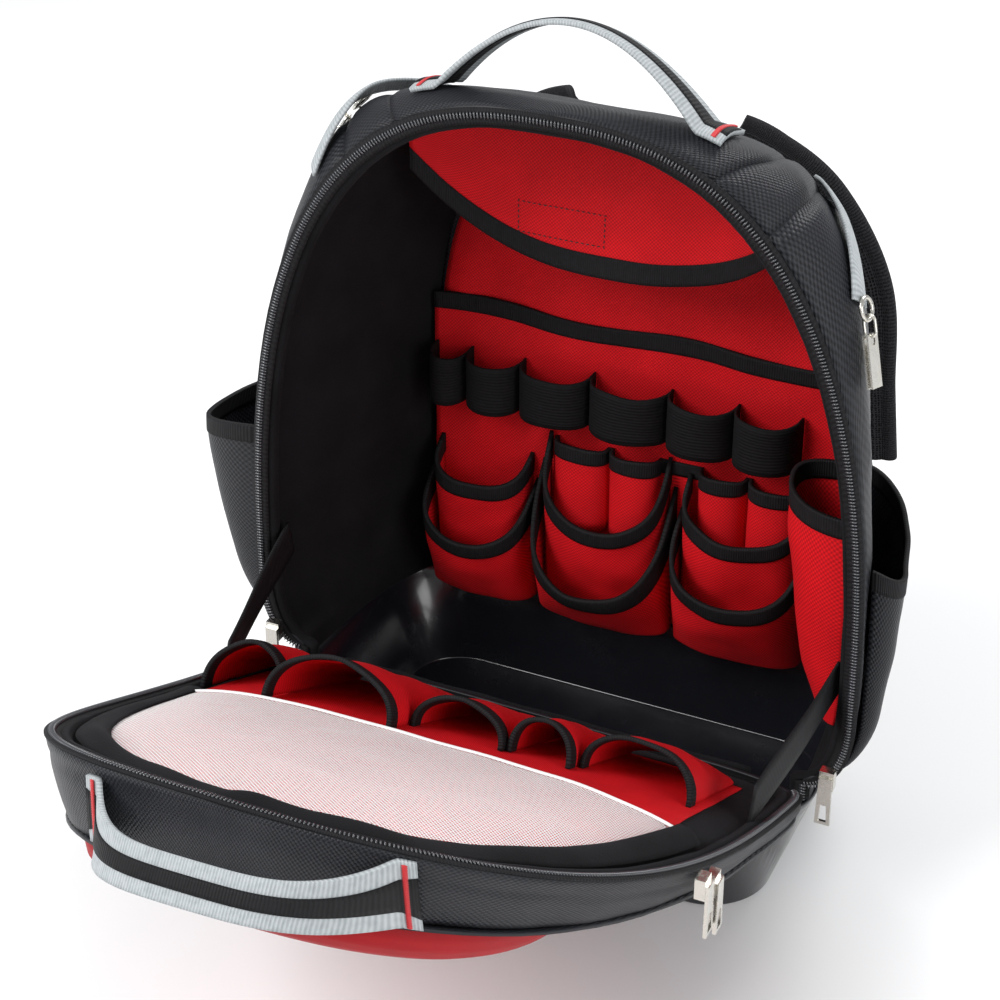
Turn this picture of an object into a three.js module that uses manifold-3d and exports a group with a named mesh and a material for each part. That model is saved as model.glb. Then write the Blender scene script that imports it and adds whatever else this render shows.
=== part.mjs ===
// Tool backpack standing open: a moulded base tray, a padded cloth body with an arch-shaped
// mouth, and a front panel let down on its cloth hinge. Millimetres, +X right seen from the
// front, +Y back, +Z up. The origin is the centre of the tray's flat underside.
import * as THREE from 'three';
import { mergeVertices } from 'three/addons/utils/BufferGeometryUtils.js';
import Module from 'manifold-3d';

const wasm = await Module();
wasm.setup();

// Gaps between pieces that touch
const gap = 0.3;
const clothGap = 0.6;

// Base tray
const trayDepth = 184;
const trayHeight = 82;
const trayLedge = 1;
const trayDraft = 25;
const trayWall = 4;
const trayFloor = 5;
const trayFlare = 4;
const trayFrontRadius = 38;
const trayBackRadius = 46;
const trayFoot = 4;
const trayLip = 1.5;
const trayLipHeight = 12;

// Body: an arch-shaped tube of padded cloth on the tray
const mouthY = -62;
const bodyDepth = 150;
const bodyHalf = 201.5;
const bodyTop = 495;
const hipHeight = 142.8;
const kneeHeight = 95.7;
const hipOverhang = 24.5;
const bodyFoot = bodyHalf - hipOverhang;
const trayHalfTop = bodyFoot + trayLedge;
const trayHalfBottom = trayHalfTop - trayDraft;
const bodyWall = 7;
const backWall = 5.5;
const liningPad = 9;
const zipWidth = 10;
const zipThick = 2.5;
// How far each half of the zip runs past the hips, as a share of the way to the foot
const zipBodyEnd = 0.97;
const zipPanelEnd = 0.3;
// Rows from the mouth to the back: shares of depth, half width, top and foot, and the roundness
const stations = [
  { depth: 0.00, half: 1.000, top: 1.000, foot: 1.00, power: 2.57 },
  { depth: 0.12, half: 0.978, top: 1.000, foot: 1.00, power: 3.20 },
  { depth: 0.28, half: 0.921, top: 0.984, foot: 0.99, power: 4.10 },
  { depth: 0.55, half: 0.859, top: 0.950, foot: 0.96, power: 4.20 },
  { depth: 0.80, half: 0.806, top: 0.907, foot: 0.91, power: 4.10 },
  { depth: 1.00, half: 0.744, top: 0.859, foot: 0.83, power: 3.60 },
];
// Seams of the gusset, as shares of the way from hip to crown
const seamLow = 0.582;
const seamHigh = 0.678;

// Front panel, measured along its curve from the hinge
const hingeY = -66;
const hingeZ = 96;
const panelTilt = 19.2;
const panelBend = 18.3;
const panelLength = 431;
const panelHalf = 182.7;
const panelHip = 57;
const panelPower = 2.75;
const panelFootPower = 4.84;
const panelDepth = 39;
const panelHingeDepth = 8.5;
// How far the face stands in from the rim at the far end, and how much deeper the left side sags
const panelFlare = 23;
const panelLean = 0.15;
const panelWall = 4;
const panelFace = 3;
const liningThick = 2;
const liningEdge = 5;
const liningLift = 21;

// Pouch outside the panel
const pouchSideInset = 61.7;
const pouchFarInset = 40;
const pouchStart = 70;
const pouchPower = 3;
const pouchDepth = 19.5;
const pouchWall = 3;
// Section of the pouch from its crown to its edge, as shares of its half width and depth
const pouchSection = [
  { share: 0.45, depth: 1.00 },
  { share: 0.80, depth: 0.96 },
  { share: 0.93, depth: 0.78 },
  { share: 0.99, depth: 0.35 },
  { share: 1.00, depth: 0.00 },
];

// Tunnel pockets on the panel, as shares of its half width, its length and the tallest tunnel
const tunnelWall = 1.8;
const tunnelHeight = 30;
const tunnelEnd = 0.085;
const tunnels = [
  { name: 'tunnel_pocket_1', left: -0.905, right: -0.625, mouth: 0.320, height: 0.90 },
  { name: 'tunnel_pocket_2', left: -0.600, right: -0.160, mouth: 0.390, height: 1.00 },
  { name: 'tunnel_pocket_3', left: -0.140, right: 0.165, mouth: 0.330, height: 0.73 },
  { name: 'tunnel_pocket_4', left: 0.185, right: 0.385, mouth: 0.320, height: 0.80 },
  { name: 'tunnel_pocket_5', left: 0.405, right: 0.765, mouth: 0.290, height: 0.87 },
];
const meshInset = 27;
const meshStart = 178;
const meshThick = 1.4;
const meshSteps = 24;
const meshSeat = 1.9;

// Organizer on the inside of the back
const sheetTop = 296;
const sheetBottom = 92;
const sheetInset = 61.5;
const sheetHalf = bodyHalf - sheetInset;
const cloth = 1.6;
const pocketBottom = 84;
const upperDepth = 30;
const lowerDepth = 47;
const pocketFootDepth = 20;
const nestedFootDepth = 9;
const nestedLift = 10;
// Pocket columns: edges as shares of the sheet's half width, and the heights of the top edges at
// the wall and at the front as shares of the pockets' height below the sheet's top
const columns = [
  { name: 'left', seat: 'sheet', left: -0.99, right: -0.46, upper: [0.51, 0.43], lower: [0.42, 0.26] },
  { name: 'middle', seat: 'band', left: -0.42, right: 0.24, upper: [0.61, 0.37], lower: [0.50, 0.17] },
  { name: 'right', seat: 'band', left: 0.28, right: 0.90, upper: [0.57, 0.44], lower: [0.44, 0.26] },
];
const shaftTop = 210;
const shaftBottom = 150;
const shaftDepth = 13;
const shaftLoops = [[-0.36, -0.10], [-0.08, 0.16], [0.36, 0.58], [0.60, 0.84]];
const elasticHeight = 34;
const elasticMiddle = 246;
const elasticThick = 1.8;
const elasticDepth = 24;
const elasticLoops = [
  [-0.98, -0.80], [-0.80, -0.53], [-0.53, -0.18], [-0.18, 0.20], [0.20, 0.52], [0.52, 0.82],
];
const flapInset = 77.5;
const flapHalf = bodyHalf - flapInset;
const flapBottom = 358;
const flapCorner = 54;
const flapY = 36;
const flapBelly = 8;

// Pockets outside and inside the gusset
const pocketFront = -50;
const pocketBack = 64;
const pocketTop = 246;
const pocketDrop = 14;
const pocketFloor = 100;
const pocketSeat = 0.9;
const openBulge = 72;
const flatBulge = 26;
const openFoot = 0.25;
const flatFoot = 0.1;
const wallPocketTop = 262;
const wallPocketFloor = 118;
const wallPocketFront = -30;
const wallPocketBack = 34;
const wallPocketBulge = 38;

// Handles
const handleWidth = 38;
const handleThick = 3;
const handleGrip = 20;
const handleHalfSpan = 78;
const handleRise = 46;
const handleTail = 15;
const handleSeat = 1;
const handleY = -26;
const panelHandleHalfSpan = 76;
const panelHandleTail = 8;
const panelHandleShift = 12.5;
const panelHandleStand = 22;
const panelHandleWidth = 32;
const panelHandleGrip = 22;
const panelHandleSeat = 0.53;
const panelHandleDroop = 15;
const panelHandlePower = 4;
// How far the flat facets of the gusset under it lie inside their curve
const facetSag = 0.9;

// Straps
const strapWidth = 70;
const strapThick = 12;
const webWidth = 25;
const webThick = 2;
const buckleWidth = 36;
const buckleHeight = 26;
const buckleThick = 5;
const buckleBar = 5;
const padThick = 10;
const padHalf = 128;
const padTop = 350;
const padBottom = 100;
const limitWidth = 25;
const limitRun = 0.24;
// Centre lines of the right shoulder strap and the webbing below its buckle: shares of the body's
// half width, of the strap's thickness behind the pad, and of the body's top
const strapRoute = [
  [0.22, -0.31, 0.832], [0.32, 0.14, 0.814], [0.46, 0.75, 0.768],
  [0.59, 1.03, 0.672], [0.625, 0.83, 0.550], [0.655, 0.67, 0.450],
];
const webRoute = [
  [0.685, 0.58, 0.379], [0.745, 0.25, 0.333], [0.765, -0.10, 0.273],
  [0.750, -0.45, 0.218], [0.690, -0.72, 0.182],
];
// Webbing over the gusset, from its rear seam to the ring: shares of depth and of the climb
const sideRoutes = {
  right: [[0.79, 0.595], [0.61, 0.550], [0.41, 0.490], [0.21, 0.425]],
  left: [[0.61, 0.700], [0.41, 0.660], [0.23, 0.600], [0.11, 0.510]],
};
const sideSlack = { right: 1, left: 5 };
const climbLength = 400;

// Metal pieces
const ringWire = 2.6;
const ringSize = 15;
const linkWire = 1.8;
const linkLength = 14;
const linkWidth = 8.5;
const chainLinks = 4;
const chainAt = 0.6;
const clipWidth = 12;
const clipHeight = 30;
const clipThick = 3.6;
const clipWall = 1;
const clipHole = 2.6;
const clipBridge = 1.5;
const clipLean = -0.45;
const metalLift = 4.9;
const ringLift = 4.2;
const chainStrapLength = 85;
const chainStrapWidth = 14;
const sliderLength = 13;
const sliderWidth = 9;
const sliderThick = 6;
const pullLength = 34;
const pullTop = 8;
const pullBottom = 9.5;
const pullThick = 2;
const pullSlot = 12;
const pullRim = 2.2;
const bailWidth = 3;
const bailReach = 8;
const pairRun = 0.48;
const pairDrop = 8;
const pairSpace = 13;
const pairSeat = 0;
const mainPullHeight = 107;

const look = {
  ballistic: { color: 0x1c1c1f, roughness: 0.85, metalness: 0 },
  lining: { color: 0x161617, roughness: 0.95, metalness: 0 },
  red: { color: 0xb81420, roughness: 0.8, metalness: 0 },
  grey: { color: 0x8f9597, roughness: 0.75, metalness: 0 },
  elastic: { color: 0x101011, roughness: 0.9, metalness: 0 },
  mesh: { color: 0xdad6d6, roughness: 0.7, metalness: 0 },
  foam: { color: 0x242426, roughness: 0.95, metalness: 0 },
  tray: { color: 0x0d0e12, roughness: 0.22, metalness: 0 },
  zip: { color: 0x2a2a2c, roughness: 0.45, metalness: 0.1 },
  nickel: { color: 0xb9b6ad, roughness: 0.28, metalness: 1 },
  plastic: { color: 0x141416, roughness: 0.5, metalness: 0 },
};

const mix = (a, b, t) => a + (b - a) * t;
const point = (x, y, z) => new THREE.Vector3(x, y, z);
const backY = mouthY + bodyDepth;
const group = new THREE.Group();

// Solids from points

function facingOut(vertices, triangles) {
  let volume = 0;
  for (let i = 0; i < triangles.length; i += 3) {
    const [a, b, c] = [0, 1, 2].map((k) => vertices[triangles[i + k]]);
    volume += a.dot(b.clone().cross(c));
  }
  return volume > 0 ? triangles : triangles.reverse();
}

function addMesh(name, geometry, material) {
  const mesh = new THREE.Mesh(geometry, new THREE.MeshStandardMaterial(look[material]));
  mesh.name = name;
  group.add(mesh);
  return mesh;
}

function geometryOf(vertices, triangles) {
  const geometry = new THREE.BufferGeometry();
  const numbers = vertices.flatMap((v) => [v.x, v.y, v.z]);
  geometry.setAttribute('position', new THREE.Float32BufferAttribute(numbers, 3));
  geometry.setIndex(facingOut(vertices, triangles));
  geometry.computeVertexNormals();
  return geometry;
}

// A closed sheet between two grids of points, open along its edges or wrapped into a ring
function between(outer, inner, wrap = false) {
  const across = outer.length;
  const along = outer[0].length;
  const vertices = [...outer.flat(), ...inner.flat()];
  const at = (layer, i, j) => layer * across * along + (i % across) * along + j;
  const triangles = [];
  const quad = (a, b, c, d) => triangles.push(a, b, c, a, c, d);
  const last = wrap ? across : across - 1;
  for (let i = 0; i < last; i += 1) {
    for (let j = 0; j < along - 1; j += 1) {
      quad(at(0, i, j), at(0, i + 1, j), at(0, i + 1, j + 1), at(0, i, j + 1));
      quad(at(1, i, j + 1), at(1, i + 1, j + 1), at(1, i + 1, j), at(1, i, j));
    }
    quad(at(1, i, 0), at(1, i + 1, 0), at(0, i + 1, 0), at(0, i, 0));
    const end = along - 1;
    quad(at(0, i, end), at(0, i + 1, end), at(1, i + 1, end), at(1, i, end));
  }
  if (!wrap) {
    for (let j = 0; j < along - 1; j += 1) {
      quad(at(0, 0, j), at(0, 0, j + 1), at(1, 0, j + 1), at(1, 0, j));
      const end = across - 1;
      quad(at(1, end, j), at(1, end, j + 1), at(0, end, j + 1), at(0, end, j));
    }
  }
  return geometryOf(vertices, triangles);
}

const grid = (across, along, at) => Array.from({ length: across + 1 }, (_, i) => (
  Array.from({ length: along + 1 }, (__, j) => at(i / across, j / along))));

// A sheet of even thickness about a surface
function sheet(across, along, surface, thickness) {
  const middle = grid(across, along, surface);
  const normal = (i, j) => {
    const du = middle[Math.min(i + 1, across)][j].clone().sub(middle[Math.max(i - 1, 0)][j]);
    const dv = middle[i][Math.min(j + 1, along)].clone().sub(middle[i][Math.max(j - 1, 0)]);
    return du.cross(dv).normalize();
  };
  const shift = (side) => middle.map((row, i) => row.map((p, j) => (
    p.clone().addScaledVector(normal(i, j), side * thickness / 2))));
  return between(shift(1), shift(-1));
}

// A solid of stacked rings, closed by a fan at each end
function ringSolid(rings, firstApex, lastApex) {
  const count = rings[0].length;
  const vertices = [...rings.flat(), firstApex, lastApex];
  const triangles = [];
  for (let k = 0; k < count; k += 1) {
    const next = (k + 1) % count;
    triangles.push(vertices.length - 2, next, k);
    const top = (rings.length - 1) * count;
    triangles.push(vertices.length - 1, top + k, top + next);
    for (let r = 0; r < rings.length - 1; r += 1) {
      const low = r * count;
      const high = low + count;
      triangles.push(low + k, low + next, high + next, low + k, high + next, high + k);
    }
  }
  return geometryOf(vertices, triangles);
}

function toManifold(geometry) {
  const bare = geometry.clone();
  bare.deleteAttribute('normal');
  if (bare.hasAttribute('uv')) bare.deleteAttribute('uv');
  const merged = mergeVertices(bare, 1e-4);
  const vertProperties = new Float32Array(merged.attributes.position.array);
  const triVerts = new Uint32Array(merged.index.array);
  return new wasm.Manifold(new wasm.Mesh({ numProp: 3, vertProperties, triVerts }));
}

function fromManifold(solid) {
  const mesh = solid.getMesh();
  const geometry = new THREE.BufferGeometry();
  geometry.setAttribute('position', new THREE.Float32BufferAttribute(mesh.vertProperties, 3));
  geometry.setIndex([...mesh.triVerts]);
  geometry.computeVertexNormals();
  return geometry;
}

// Outer skin of the body

function stationAt(y) {
  const share = THREE.MathUtils.clamp((y - mouthY) / bodyDepth, 0, 1);
  const upper = Math.max(1, stations.findIndex((row) => row.depth >= share));
  const [a, b] = [stations[upper - 1], stations[upper]];
  const t = (share - a.depth) / (b.depth - a.depth);
  return {
    half: bodyHalf * mix(a.half, b.half, t),
    top: bodyTop * mix(a.top, b.top, t),
    foot: bodyFoot * mix(a.foot, b.foot, t),
    power: mix(a.power, b.power, t),
  };
}

const kneeBulge = (z) => Math.sqrt(Math.max(0, 1 - ((hipHeight - z) / (hipHeight - kneeHeight)) ** 2));

// Half width of the skin at a depth and height, moved out by a distance
function skinX(y, z, out = 0) {
  const { half, top, foot, power } = stationAt(y);
  if (z < hipHeight) return foot + out + (half - foot) * (z > kneeHeight ? kneeBulge(z) : 0);
  const share = Math.min(1, (z - hipHeight) / (top + out - hipHeight));
  return (half + out) * (1 - share ** power) ** (1 / power);
}

// Height of the skin at a place seen from above
function skinZ(x, y, out = 0) {
  const { half, top, power } = stationAt(y);
  const share = Math.min(1, Math.abs(x) / (half + out));
  return hipHeight + (top + out - hipHeight) * (1 - share ** power) ** (1 / power);
}

// Point of the arch at a depth: way runs -1 foot, 0 hip, 1 crown, 2 hip, 3 foot
function archPoint(y, way, out = 0) {
  const { half, top, foot, power } = stationAt(y);
  const side = way <= 1 ? 1 : -1;
  const climb = way <= 1 ? way : 2 - way;
  if (climb < 0) {
    const z = mix(hipHeight, trayHeight + gap, -climb);
    const x = foot + out + (half - foot) * (z > kneeHeight ? kneeBulge(z) : 0);
    return point(side * x, y, z);
  }
  const even = climb ** 1.5 / (climb ** 1.5 + (1 - climb) ** 1.5);
  const angle = even * Math.PI / 2;
  const x = (half + out) * Math.cos(angle) ** (2 / power);
  const z = hipHeight + (top + out - hipHeight) * Math.sin(angle) ** (2 / power);
  return point(side * (even < 1 ? x : 0), y, z);
}

// Curved surface of the front panel

const tilt = THREE.MathUtils.degToRad(panelTilt);
const curve = THREE.MathUtils.degToRad(panelBend) / panelLength;

// x across, run along the panel from the hinge, drop below the rim
function panelPoint(x, run, drop) {
  const angle = tilt + curve * run;
  const y = hingeY - (Math.sin(angle) - Math.sin(tilt)) / curve;
  const z = hingeZ + (Math.cos(tilt) - Math.cos(angle)) / curve;
  return point(x, y - drop * Math.sin(angle), z - drop * Math.cos(angle));
}

// Rim of the panel: way runs -1 middle of the hinge, 0 right hip, 1 far end, 2 left hip, 3 hinge
function panelRim(way, out = 0) {
  const side = way <= 1 ? 1 : -1;
  const climb = way <= 1 ? way : 2 - way;
  const size = Math.abs(climb);
  const angle = size ** 1.5 / (size ** 1.5 + (1 - size) ** 1.5) * Math.PI / 2;
  const power = climb < 0 ? panelFootPower : panelPower;
  const across = (panelHalf + out) * (size < 1 ? Math.cos(angle) : 0) ** (2 / power);
  const reach = climb < 0 ? -(panelHip + out) : panelLength - panelHip + out;
  return [side * across, panelHip + reach * Math.sin(angle) ** (2 / power)];
}

// Run of the far rim at a place across
function rimRun(x, out = 0) {
  const share = Math.min(1, Math.abs(x) / (panelHalf + out));
  return panelHip + (panelLength - panelHip + out) * (1 - share ** panelPower) ** (1 / panelPower);
}

// Half width of the panel at a run past its hip
const rimX = (run) => panelHalf
  * (1 - ((run - panelHip) / (panelLength - panelHip)) ** panelPower) ** (1 / panelPower);

// Depth of the panel at a place, from the hinge to the far end
const depthAt = (x, run) => mix(
  panelHingeDepth,
  panelDepth * (1 - panelLean * x / panelHalf),
  THREE.MathUtils.clamp(run / panelLength, 0, 1),
);

// How far the panel has drawn in at a drop below its rim
const flareAt = (x, run, drop) => (
  panelFlare * run / panelLength * Math.min(1, drop / depthAt(x, run)));

// Outline of the panel at a drop below its rim
function rimAt(way, drop, out = 0) {
  const [x, run] = panelRim(way);
  return panelRim(way, out - flareAt(x, run, drop));
}

// Drop of the taut lining: it leaves the rim a little low and rises towards the middle
function liningDrop(x, run) {
  const far = rimRun(x, -panelWall);
  const share = THREE.MathUtils.clamp(run / far, 0, 1);
  const side = 1 - Math.min(1, Math.abs(x) / (panelHalf - panelWall)) ** 4;
  return liningEdge - liningLift * Math.sin(Math.PI * share) ** 0.8 * side;
}

// A solid on the panel of scaled copies of an outline, from one face round to the other
function panelSolid(outline, middle, profile) {
  const ring = ({ share, drop }) => outline.map(([x, run]) => {
    const [px, pr] = [x * share, mix(middle, run, share)];
    return panelPoint(px, pr, drop(px, pr));
  });
  const [first, last] = [profile[0], profile[profile.length - 1]];
  const apex = ({ drop }) => panelPoint(0, middle, drop(0, middle));
  return ringSolid(profile.map(ring), apex(first), apex(last));
}

// Base tray

function trayRing(z, inset) {
  const share = z / trayHeight;
  const half = mix(trayHalfBottom, trayHalfTop, share) - inset;
  const reach = (trayDepth + trayFlare * share) / 2 - inset;
  const corners = [
    { x: 1, y: -1, radius: trayFrontRadius, start: -90 },
    { x: 1, y: 1, radius: trayBackRadius, start: 0 },
    { x: -1, y: 1, radius: trayBackRadius, start: 90 },
    { x: -1, y: -1, radius: trayFrontRadius, start: 180 },
  ];
  const steps = 4;
  return corners.flatMap(({ x, y, radius, start }) => {
    const round = radius - inset;
    return Array.from({ length: steps + 1 }, (_, k) => {
      const angle = THREE.MathUtils.degToRad(start + 90 * k / steps);
      const px = x * (half - round) + round * Math.cos(angle);
      const py = y * (reach - round) + round * Math.sin(angle);
      return point(px, py, z);
    });
  });
}

const lipStart = trayHeight - trayLipHeight;
addMesh('base_tray', ringSolid([
  trayRing(0, trayFoot),
  trayRing(trayFoot, 0),
  trayRing(lipStart, trayLip),
  trayRing(lipStart + trayLip, 0),
  trayRing(trayHeight, 0),
  trayRing(trayHeight, trayWall),
  trayRing(trayFloor + trayFoot, trayWall + trayLip),
  trayRing(trayFloor, trayWall + trayLip + trayFoot),
], point(0, 0, 0), point(0, 0, trayFloor)), 'tray');

// Padded gusset around the mouth, in five panels

const seamShare = gap / bodyTop;
const rows = stations.map((row) => mouthY + bodyDepth * row.depth);
function gussetPanel(name, from, to, steps) {
  const at = (out) => Array.from({ length: steps + 1 }, (_, i) => rows.map((y) => (
    archPoint(y, mix(from, to, i / steps), out))));
  addMesh(name, between(at(0), at(-bodyWall)), 'ballistic');
}
gussetPanel('gusset_side_right', -1, seamLow - seamShare, 11);
gussetPanel('gusset_corner_right', seamLow + seamShare, seamHigh - seamShare, 2);
gussetPanel('gusset_top', seamHigh + seamShare, 2 - seamHigh - seamShare, 10);
gussetPanel('gusset_corner_left', 2 - seamHigh + seamShare, 2 - seamLow - seamShare, 2);
gussetPanel('gusset_side_left', 2 - seamLow + seamShare, 3, 11);

// Back wall, its lining and the back pad

function archPlate(name, out, y, thick, material) {
  const outline = Array.from({ length: 33 }, (_, i) => archPoint(backY, mix(-1, 3, i / 32), out));
  const flat = (depth) => outline.map((p) => point(p.x, depth, p.z));
  const middle = (bodyTop + trayHeight) / 2;
  const ends = [point(0, y, middle), point(0, y + thick, middle)];
  addMesh(name, ringSolid([flat(y), flat(y + thick)], ...ends), material);
}
archPlate('back_wall', 0, backY + gap, backWall, 'ballistic');
const liningY = backY - gap - liningPad;
archPlate('back_lining', -bodyWall - clothGap * 3, liningY, liningPad, 'red');

const padY = backY + gap + backWall + gap;
const padShape = new THREE.Shape();
const padCorner = 50;
const padRadius = 30;
padShape.moveTo(-padHalf + padRadius, padBottom);
padShape.lineTo(padHalf - padRadius, padBottom);
padShape.quadraticCurveTo(padHalf, padBottom, padHalf, padBottom + padRadius);
padShape.lineTo(padHalf - padCorner / 2, padTop - padCorner);
padShape.quadraticCurveTo(padHalf - padCorner / 2, padTop, padHalf - padCorner * 1.5, padTop);
padShape.lineTo(-padHalf + padCorner * 1.5, padTop);
padShape.quadraticCurveTo(-padHalf + padCorner / 2, padTop, -padHalf + padCorner / 2, padTop - padCorner);
padShape.lineTo(-padHalf, padBottom + padRadius);
padShape.quadraticCurveTo(-padHalf, padBottom, -padHalf + padRadius, padBottom);
const padOptions = { depth: padThick, bevelEnabled: false, curveSegments: 6 };
const padGeometry = new THREE.ExtrudeGeometry(padShape, padOptions);
padGeometry.rotateX(Math.PI / 2);
padGeometry.translate(0, padY + padThick, 0);
addMesh('back_pad', padGeometry, 'foam');

// Front panel

const panelSteps = 40;
const panelWays = Array.from({ length: panelSteps }, (_, i) => mix(-1, 3, i / panelSteps));
const faceEdge = (way) => rimAt(way, depthAt(...panelRim(way)));
const gussetDrops = [0, 0.5, 1];
const panelBand = (out) => panelWays.map((way) => gussetDrops.map((share) => {
  const [x, run] = rimAt(way, share * depthAt(...panelRim(way)), out);
  return panelPoint(x, run, share * depthAt(...faceEdge(way)));
}));
addMesh('panel_gusset', between(panelBand(0), panelBand(-panelWall), true), 'ballistic');

const panelMiddle = panelLength / 2;
const faceDrop = (extra) => (x, run) => depthAt(x, run) + clothGap + extra;
addMesh('panel_face', panelSolid(panelWays.map(faceEdge), panelMiddle, [
  { share: 0.5, drop: faceDrop(panelFace) },
  { share: 0.8, drop: faceDrop(panelFace) },
  { share: 1, drop: faceDrop(panelFace) },
  { share: 1, drop: faceDrop(0) },
  { share: 0.8, drop: faceDrop(0) },
  { share: 0.5, drop: faceDrop(0) },
]), 'ballistic');

const liningShares = [0.3, 0.6, 0.85, 1];
const liningFace = (extra) => (x, run) => liningDrop(x, run) + extra;
const liningLoop = panelWays.map((way) => rimAt(way, liningEdge + liningThick, -panelWall - gap));
addMesh('panel_lining', panelSolid(liningLoop, panelMiddle, [
  ...liningShares.map((share) => ({ share, drop: liningFace(liningThick) })),
  ...liningShares.slice().reverse().map((share) => ({ share, drop: liningFace(0) })),
]), 'lining');

// Pouch: a moulded dome, open against the panel's face
const pouchMiddle = (panelLength - pouchFarInset + pouchStart) / 2;
const pouchReach = panelLength - pouchFarInset - pouchMiddle;
const pouchHalf = panelHalf - pouchSideInset;
const pouchSteps = 32;
const pouchOutline = Array.from({ length: pouchSteps }, (_, i) => {
  const angle = i / pouchSteps * Math.PI * 2;
  const [c, s] = [Math.cos(angle), Math.sin(angle)];
  const power = 2 / pouchPower;
  const x = pouchHalf * Math.sign(c) * Math.abs(c) ** power;
  return [x, pouchMiddle + pouchReach * Math.sign(s) * Math.abs(s) ** power];
});
const pouchBase = clothGap + panelFace + clothGap;
const pouchDrop = (share, less) => (x, run) => (
  depthAt(x, run) + pouchBase + Math.max(0, pouchDepth * share - less));
const wallShare = pouchWall / pouchHalf;
addMesh('panel_pouch', panelSolid(pouchOutline, pouchMiddle, [
  ...pouchSection.map(({ share, depth }) => ({ share, drop: pouchDrop(depth, 0) })),
  { share: 1 - wallShare, drop: pouchDrop(0, 0) },
  ...pouchSection.slice(0, -1).reverse().map(({ share, depth }) => (
    { share: share - wallShare, drop: pouchDrop(depth, pouchWall) })),
]), 'red');

// Cloth that closes the tray's front edge and carries the hinge
const hingeEnd = hingeY + clothGap;
const sillSide = trayDepth / 2 - trayWall;
const hingeSection = [
  [-sillSide - trayWall, trayHeight + gap], [hingeEnd + cloth * 2, trayHeight + gap],
  [hingeEnd + cloth * 2, hingeZ - gap], [hingeEnd, hingeZ - gap],
  [hingeEnd, trayHeight + gap + cloth], [-sillSide - trayWall, trayHeight + gap + cloth],
];
const hingeShape = new THREE.Shape(hingeSection.map(([y, z]) => new THREE.Vector2(y, z)));
const hingeHalf = bodyFoot - trayFrontRadius;
const hingeGeometry = new THREE.ExtrudeGeometry(hingeShape, { depth: hingeHalf * 2, bevelEnabled: false });
hingeGeometry.applyMatrix4(new THREE.Matrix4().makeBasis(point(0, 1, 0), point(0, 0, 1), point(1, 0, 0)));
hingeGeometry.translate(-hingeHalf, 0, 0);
addMesh('hinge_cloth', hingeGeometry, 'lining');

// Tunnel pockets and the mesh pocket on the panel's lining

tunnels.forEach(({ name, left, right, mouth, height }) => {
  const from = left * panelHalf;
  const to = right * panelHalf;
  addMesh(name, sheet(8, 3, (u, v) => {
    const angle = Math.PI * u;
    const x = mix(from, to, (1 - Math.cos(angle)) / 2);
    const run = mix(mouth, tunnelEnd, v) * panelLength;
    const rise = height * tunnelHeight * (1 - 0.8 * v) * Math.sin(angle) ** 0.8;
    return panelPoint(x, run, liningDrop(x, run) - clothGap - tunnelWall / 4 - rise);
  }, tunnelWall), 'red');
});

const meshMiddle = (meshStart + panelLength - meshInset) / 2;
const meshWay = 0.62;
const meshOutline = [
  ...Array.from({ length: meshSteps + 1 }, (_, i) => (
    panelRim(mix(1 - meshWay, 1 + meshWay, i / meshSteps), -meshInset))),
  ...[-0.75, -0.25, 0.25, 0.75].map((share) => [share * (panelHalf - meshInset), meshStart]),
];
const meshDrop = (extra) => (x, run) => liningDrop(x, run) - meshSeat - extra;
addMesh('mesh_pocket', panelSolid(meshOutline, meshMiddle, [
  { share: 0.4, drop: meshDrop(0) },
  { share: 0.7, drop: meshDrop(0) },
  { share: 1, drop: meshDrop(0) },
  { share: 1, drop: meshDrop(meshThick) },
  { share: 0.7, drop: meshDrop(meshThick) },
  { share: 0.4, drop: meshDrop(meshThick) },
]), 'mesh');

// Zip: one half on the body's mouth, the other on the panel's rim

const zipY = mouthY - gap - zipThick / 2;
const zipInset = (v) => -mix(0.5, zipWidth, v);
addMesh('zip_body', sheet(38, 1, (u, v) => {
  const p = archPoint(mouthY, mix(-zipBodyEnd, 2 + zipBodyEnd, u), zipInset(v));
  return point(p.x, zipY, p.z);
}, zipThick), 'zip');
const zipSteps = Math.round(panelSteps * (1 + zipPanelEnd) / 2);
addMesh('zip_panel', sheet(zipSteps, 1, (u, v) => {
  const [x, run] = panelRim(mix(-zipPanelEnd, 2 + zipPanelEnd, u), zipInset(v));
  return panelPoint(x, run, -gap - zipThick / 2);
}, zipThick), 'zip');

// Organizer inside the back

const sheetY = liningY - gap - cloth / 2;
addMesh('pocket_sheet', sheet(4, 2, (u, v) => (
  point(mix(-sheetHalf, sheetHalf, u), sheetY, mix(sheetTop, sheetBottom, v))), cloth), 'red');

// A band of half-round loops, sewn flat to the sheet behind it between them
function loopRow(loops, steps, y, deep, bottom, top) {
  const line = loops.flatMap(([left, right], k) => {
    const joined = k > 0 && loops[k - 1][1] === left;
    return Array.from({ length: steps + 1 }, (_, i) => {
      const angle = Math.PI * i / steps;
      const x = sheetHalf * mix(left, right, (1 - Math.cos(angle)) / 2);
      return [x, y - deep * Math.sin(angle) ** 0.7];
    }).slice(joined ? 1 : 0);
  });
  const surface = (u, v) => {
    const [x, depth] = line[Math.round(u * (line.length - 1))];
    return point(x, depth, mix(bottom, top, v));
  };
  return { surface, steps: line.length - 1 };
}
const shaftY = sheetY - cloth - gap;
const shaftRow = loopRow(shaftLoops, 5, shaftY, shaftDepth, shaftBottom, shaftTop);
addMesh('shaft_pockets', sheet(shaftRow.steps, 1, shaftRow.surface, cloth), 'red');
const elasticY = sheetY - (cloth + elasticThick) / 2 - gap;
const [elasticLow, elasticHigh] = [-0.5, 0.5].map((side) => elasticMiddle + side * elasticHeight);
const elasticRow = loopRow(elasticLoops, 6, elasticY, elasticDepth, elasticLow, elasticHigh);
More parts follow.
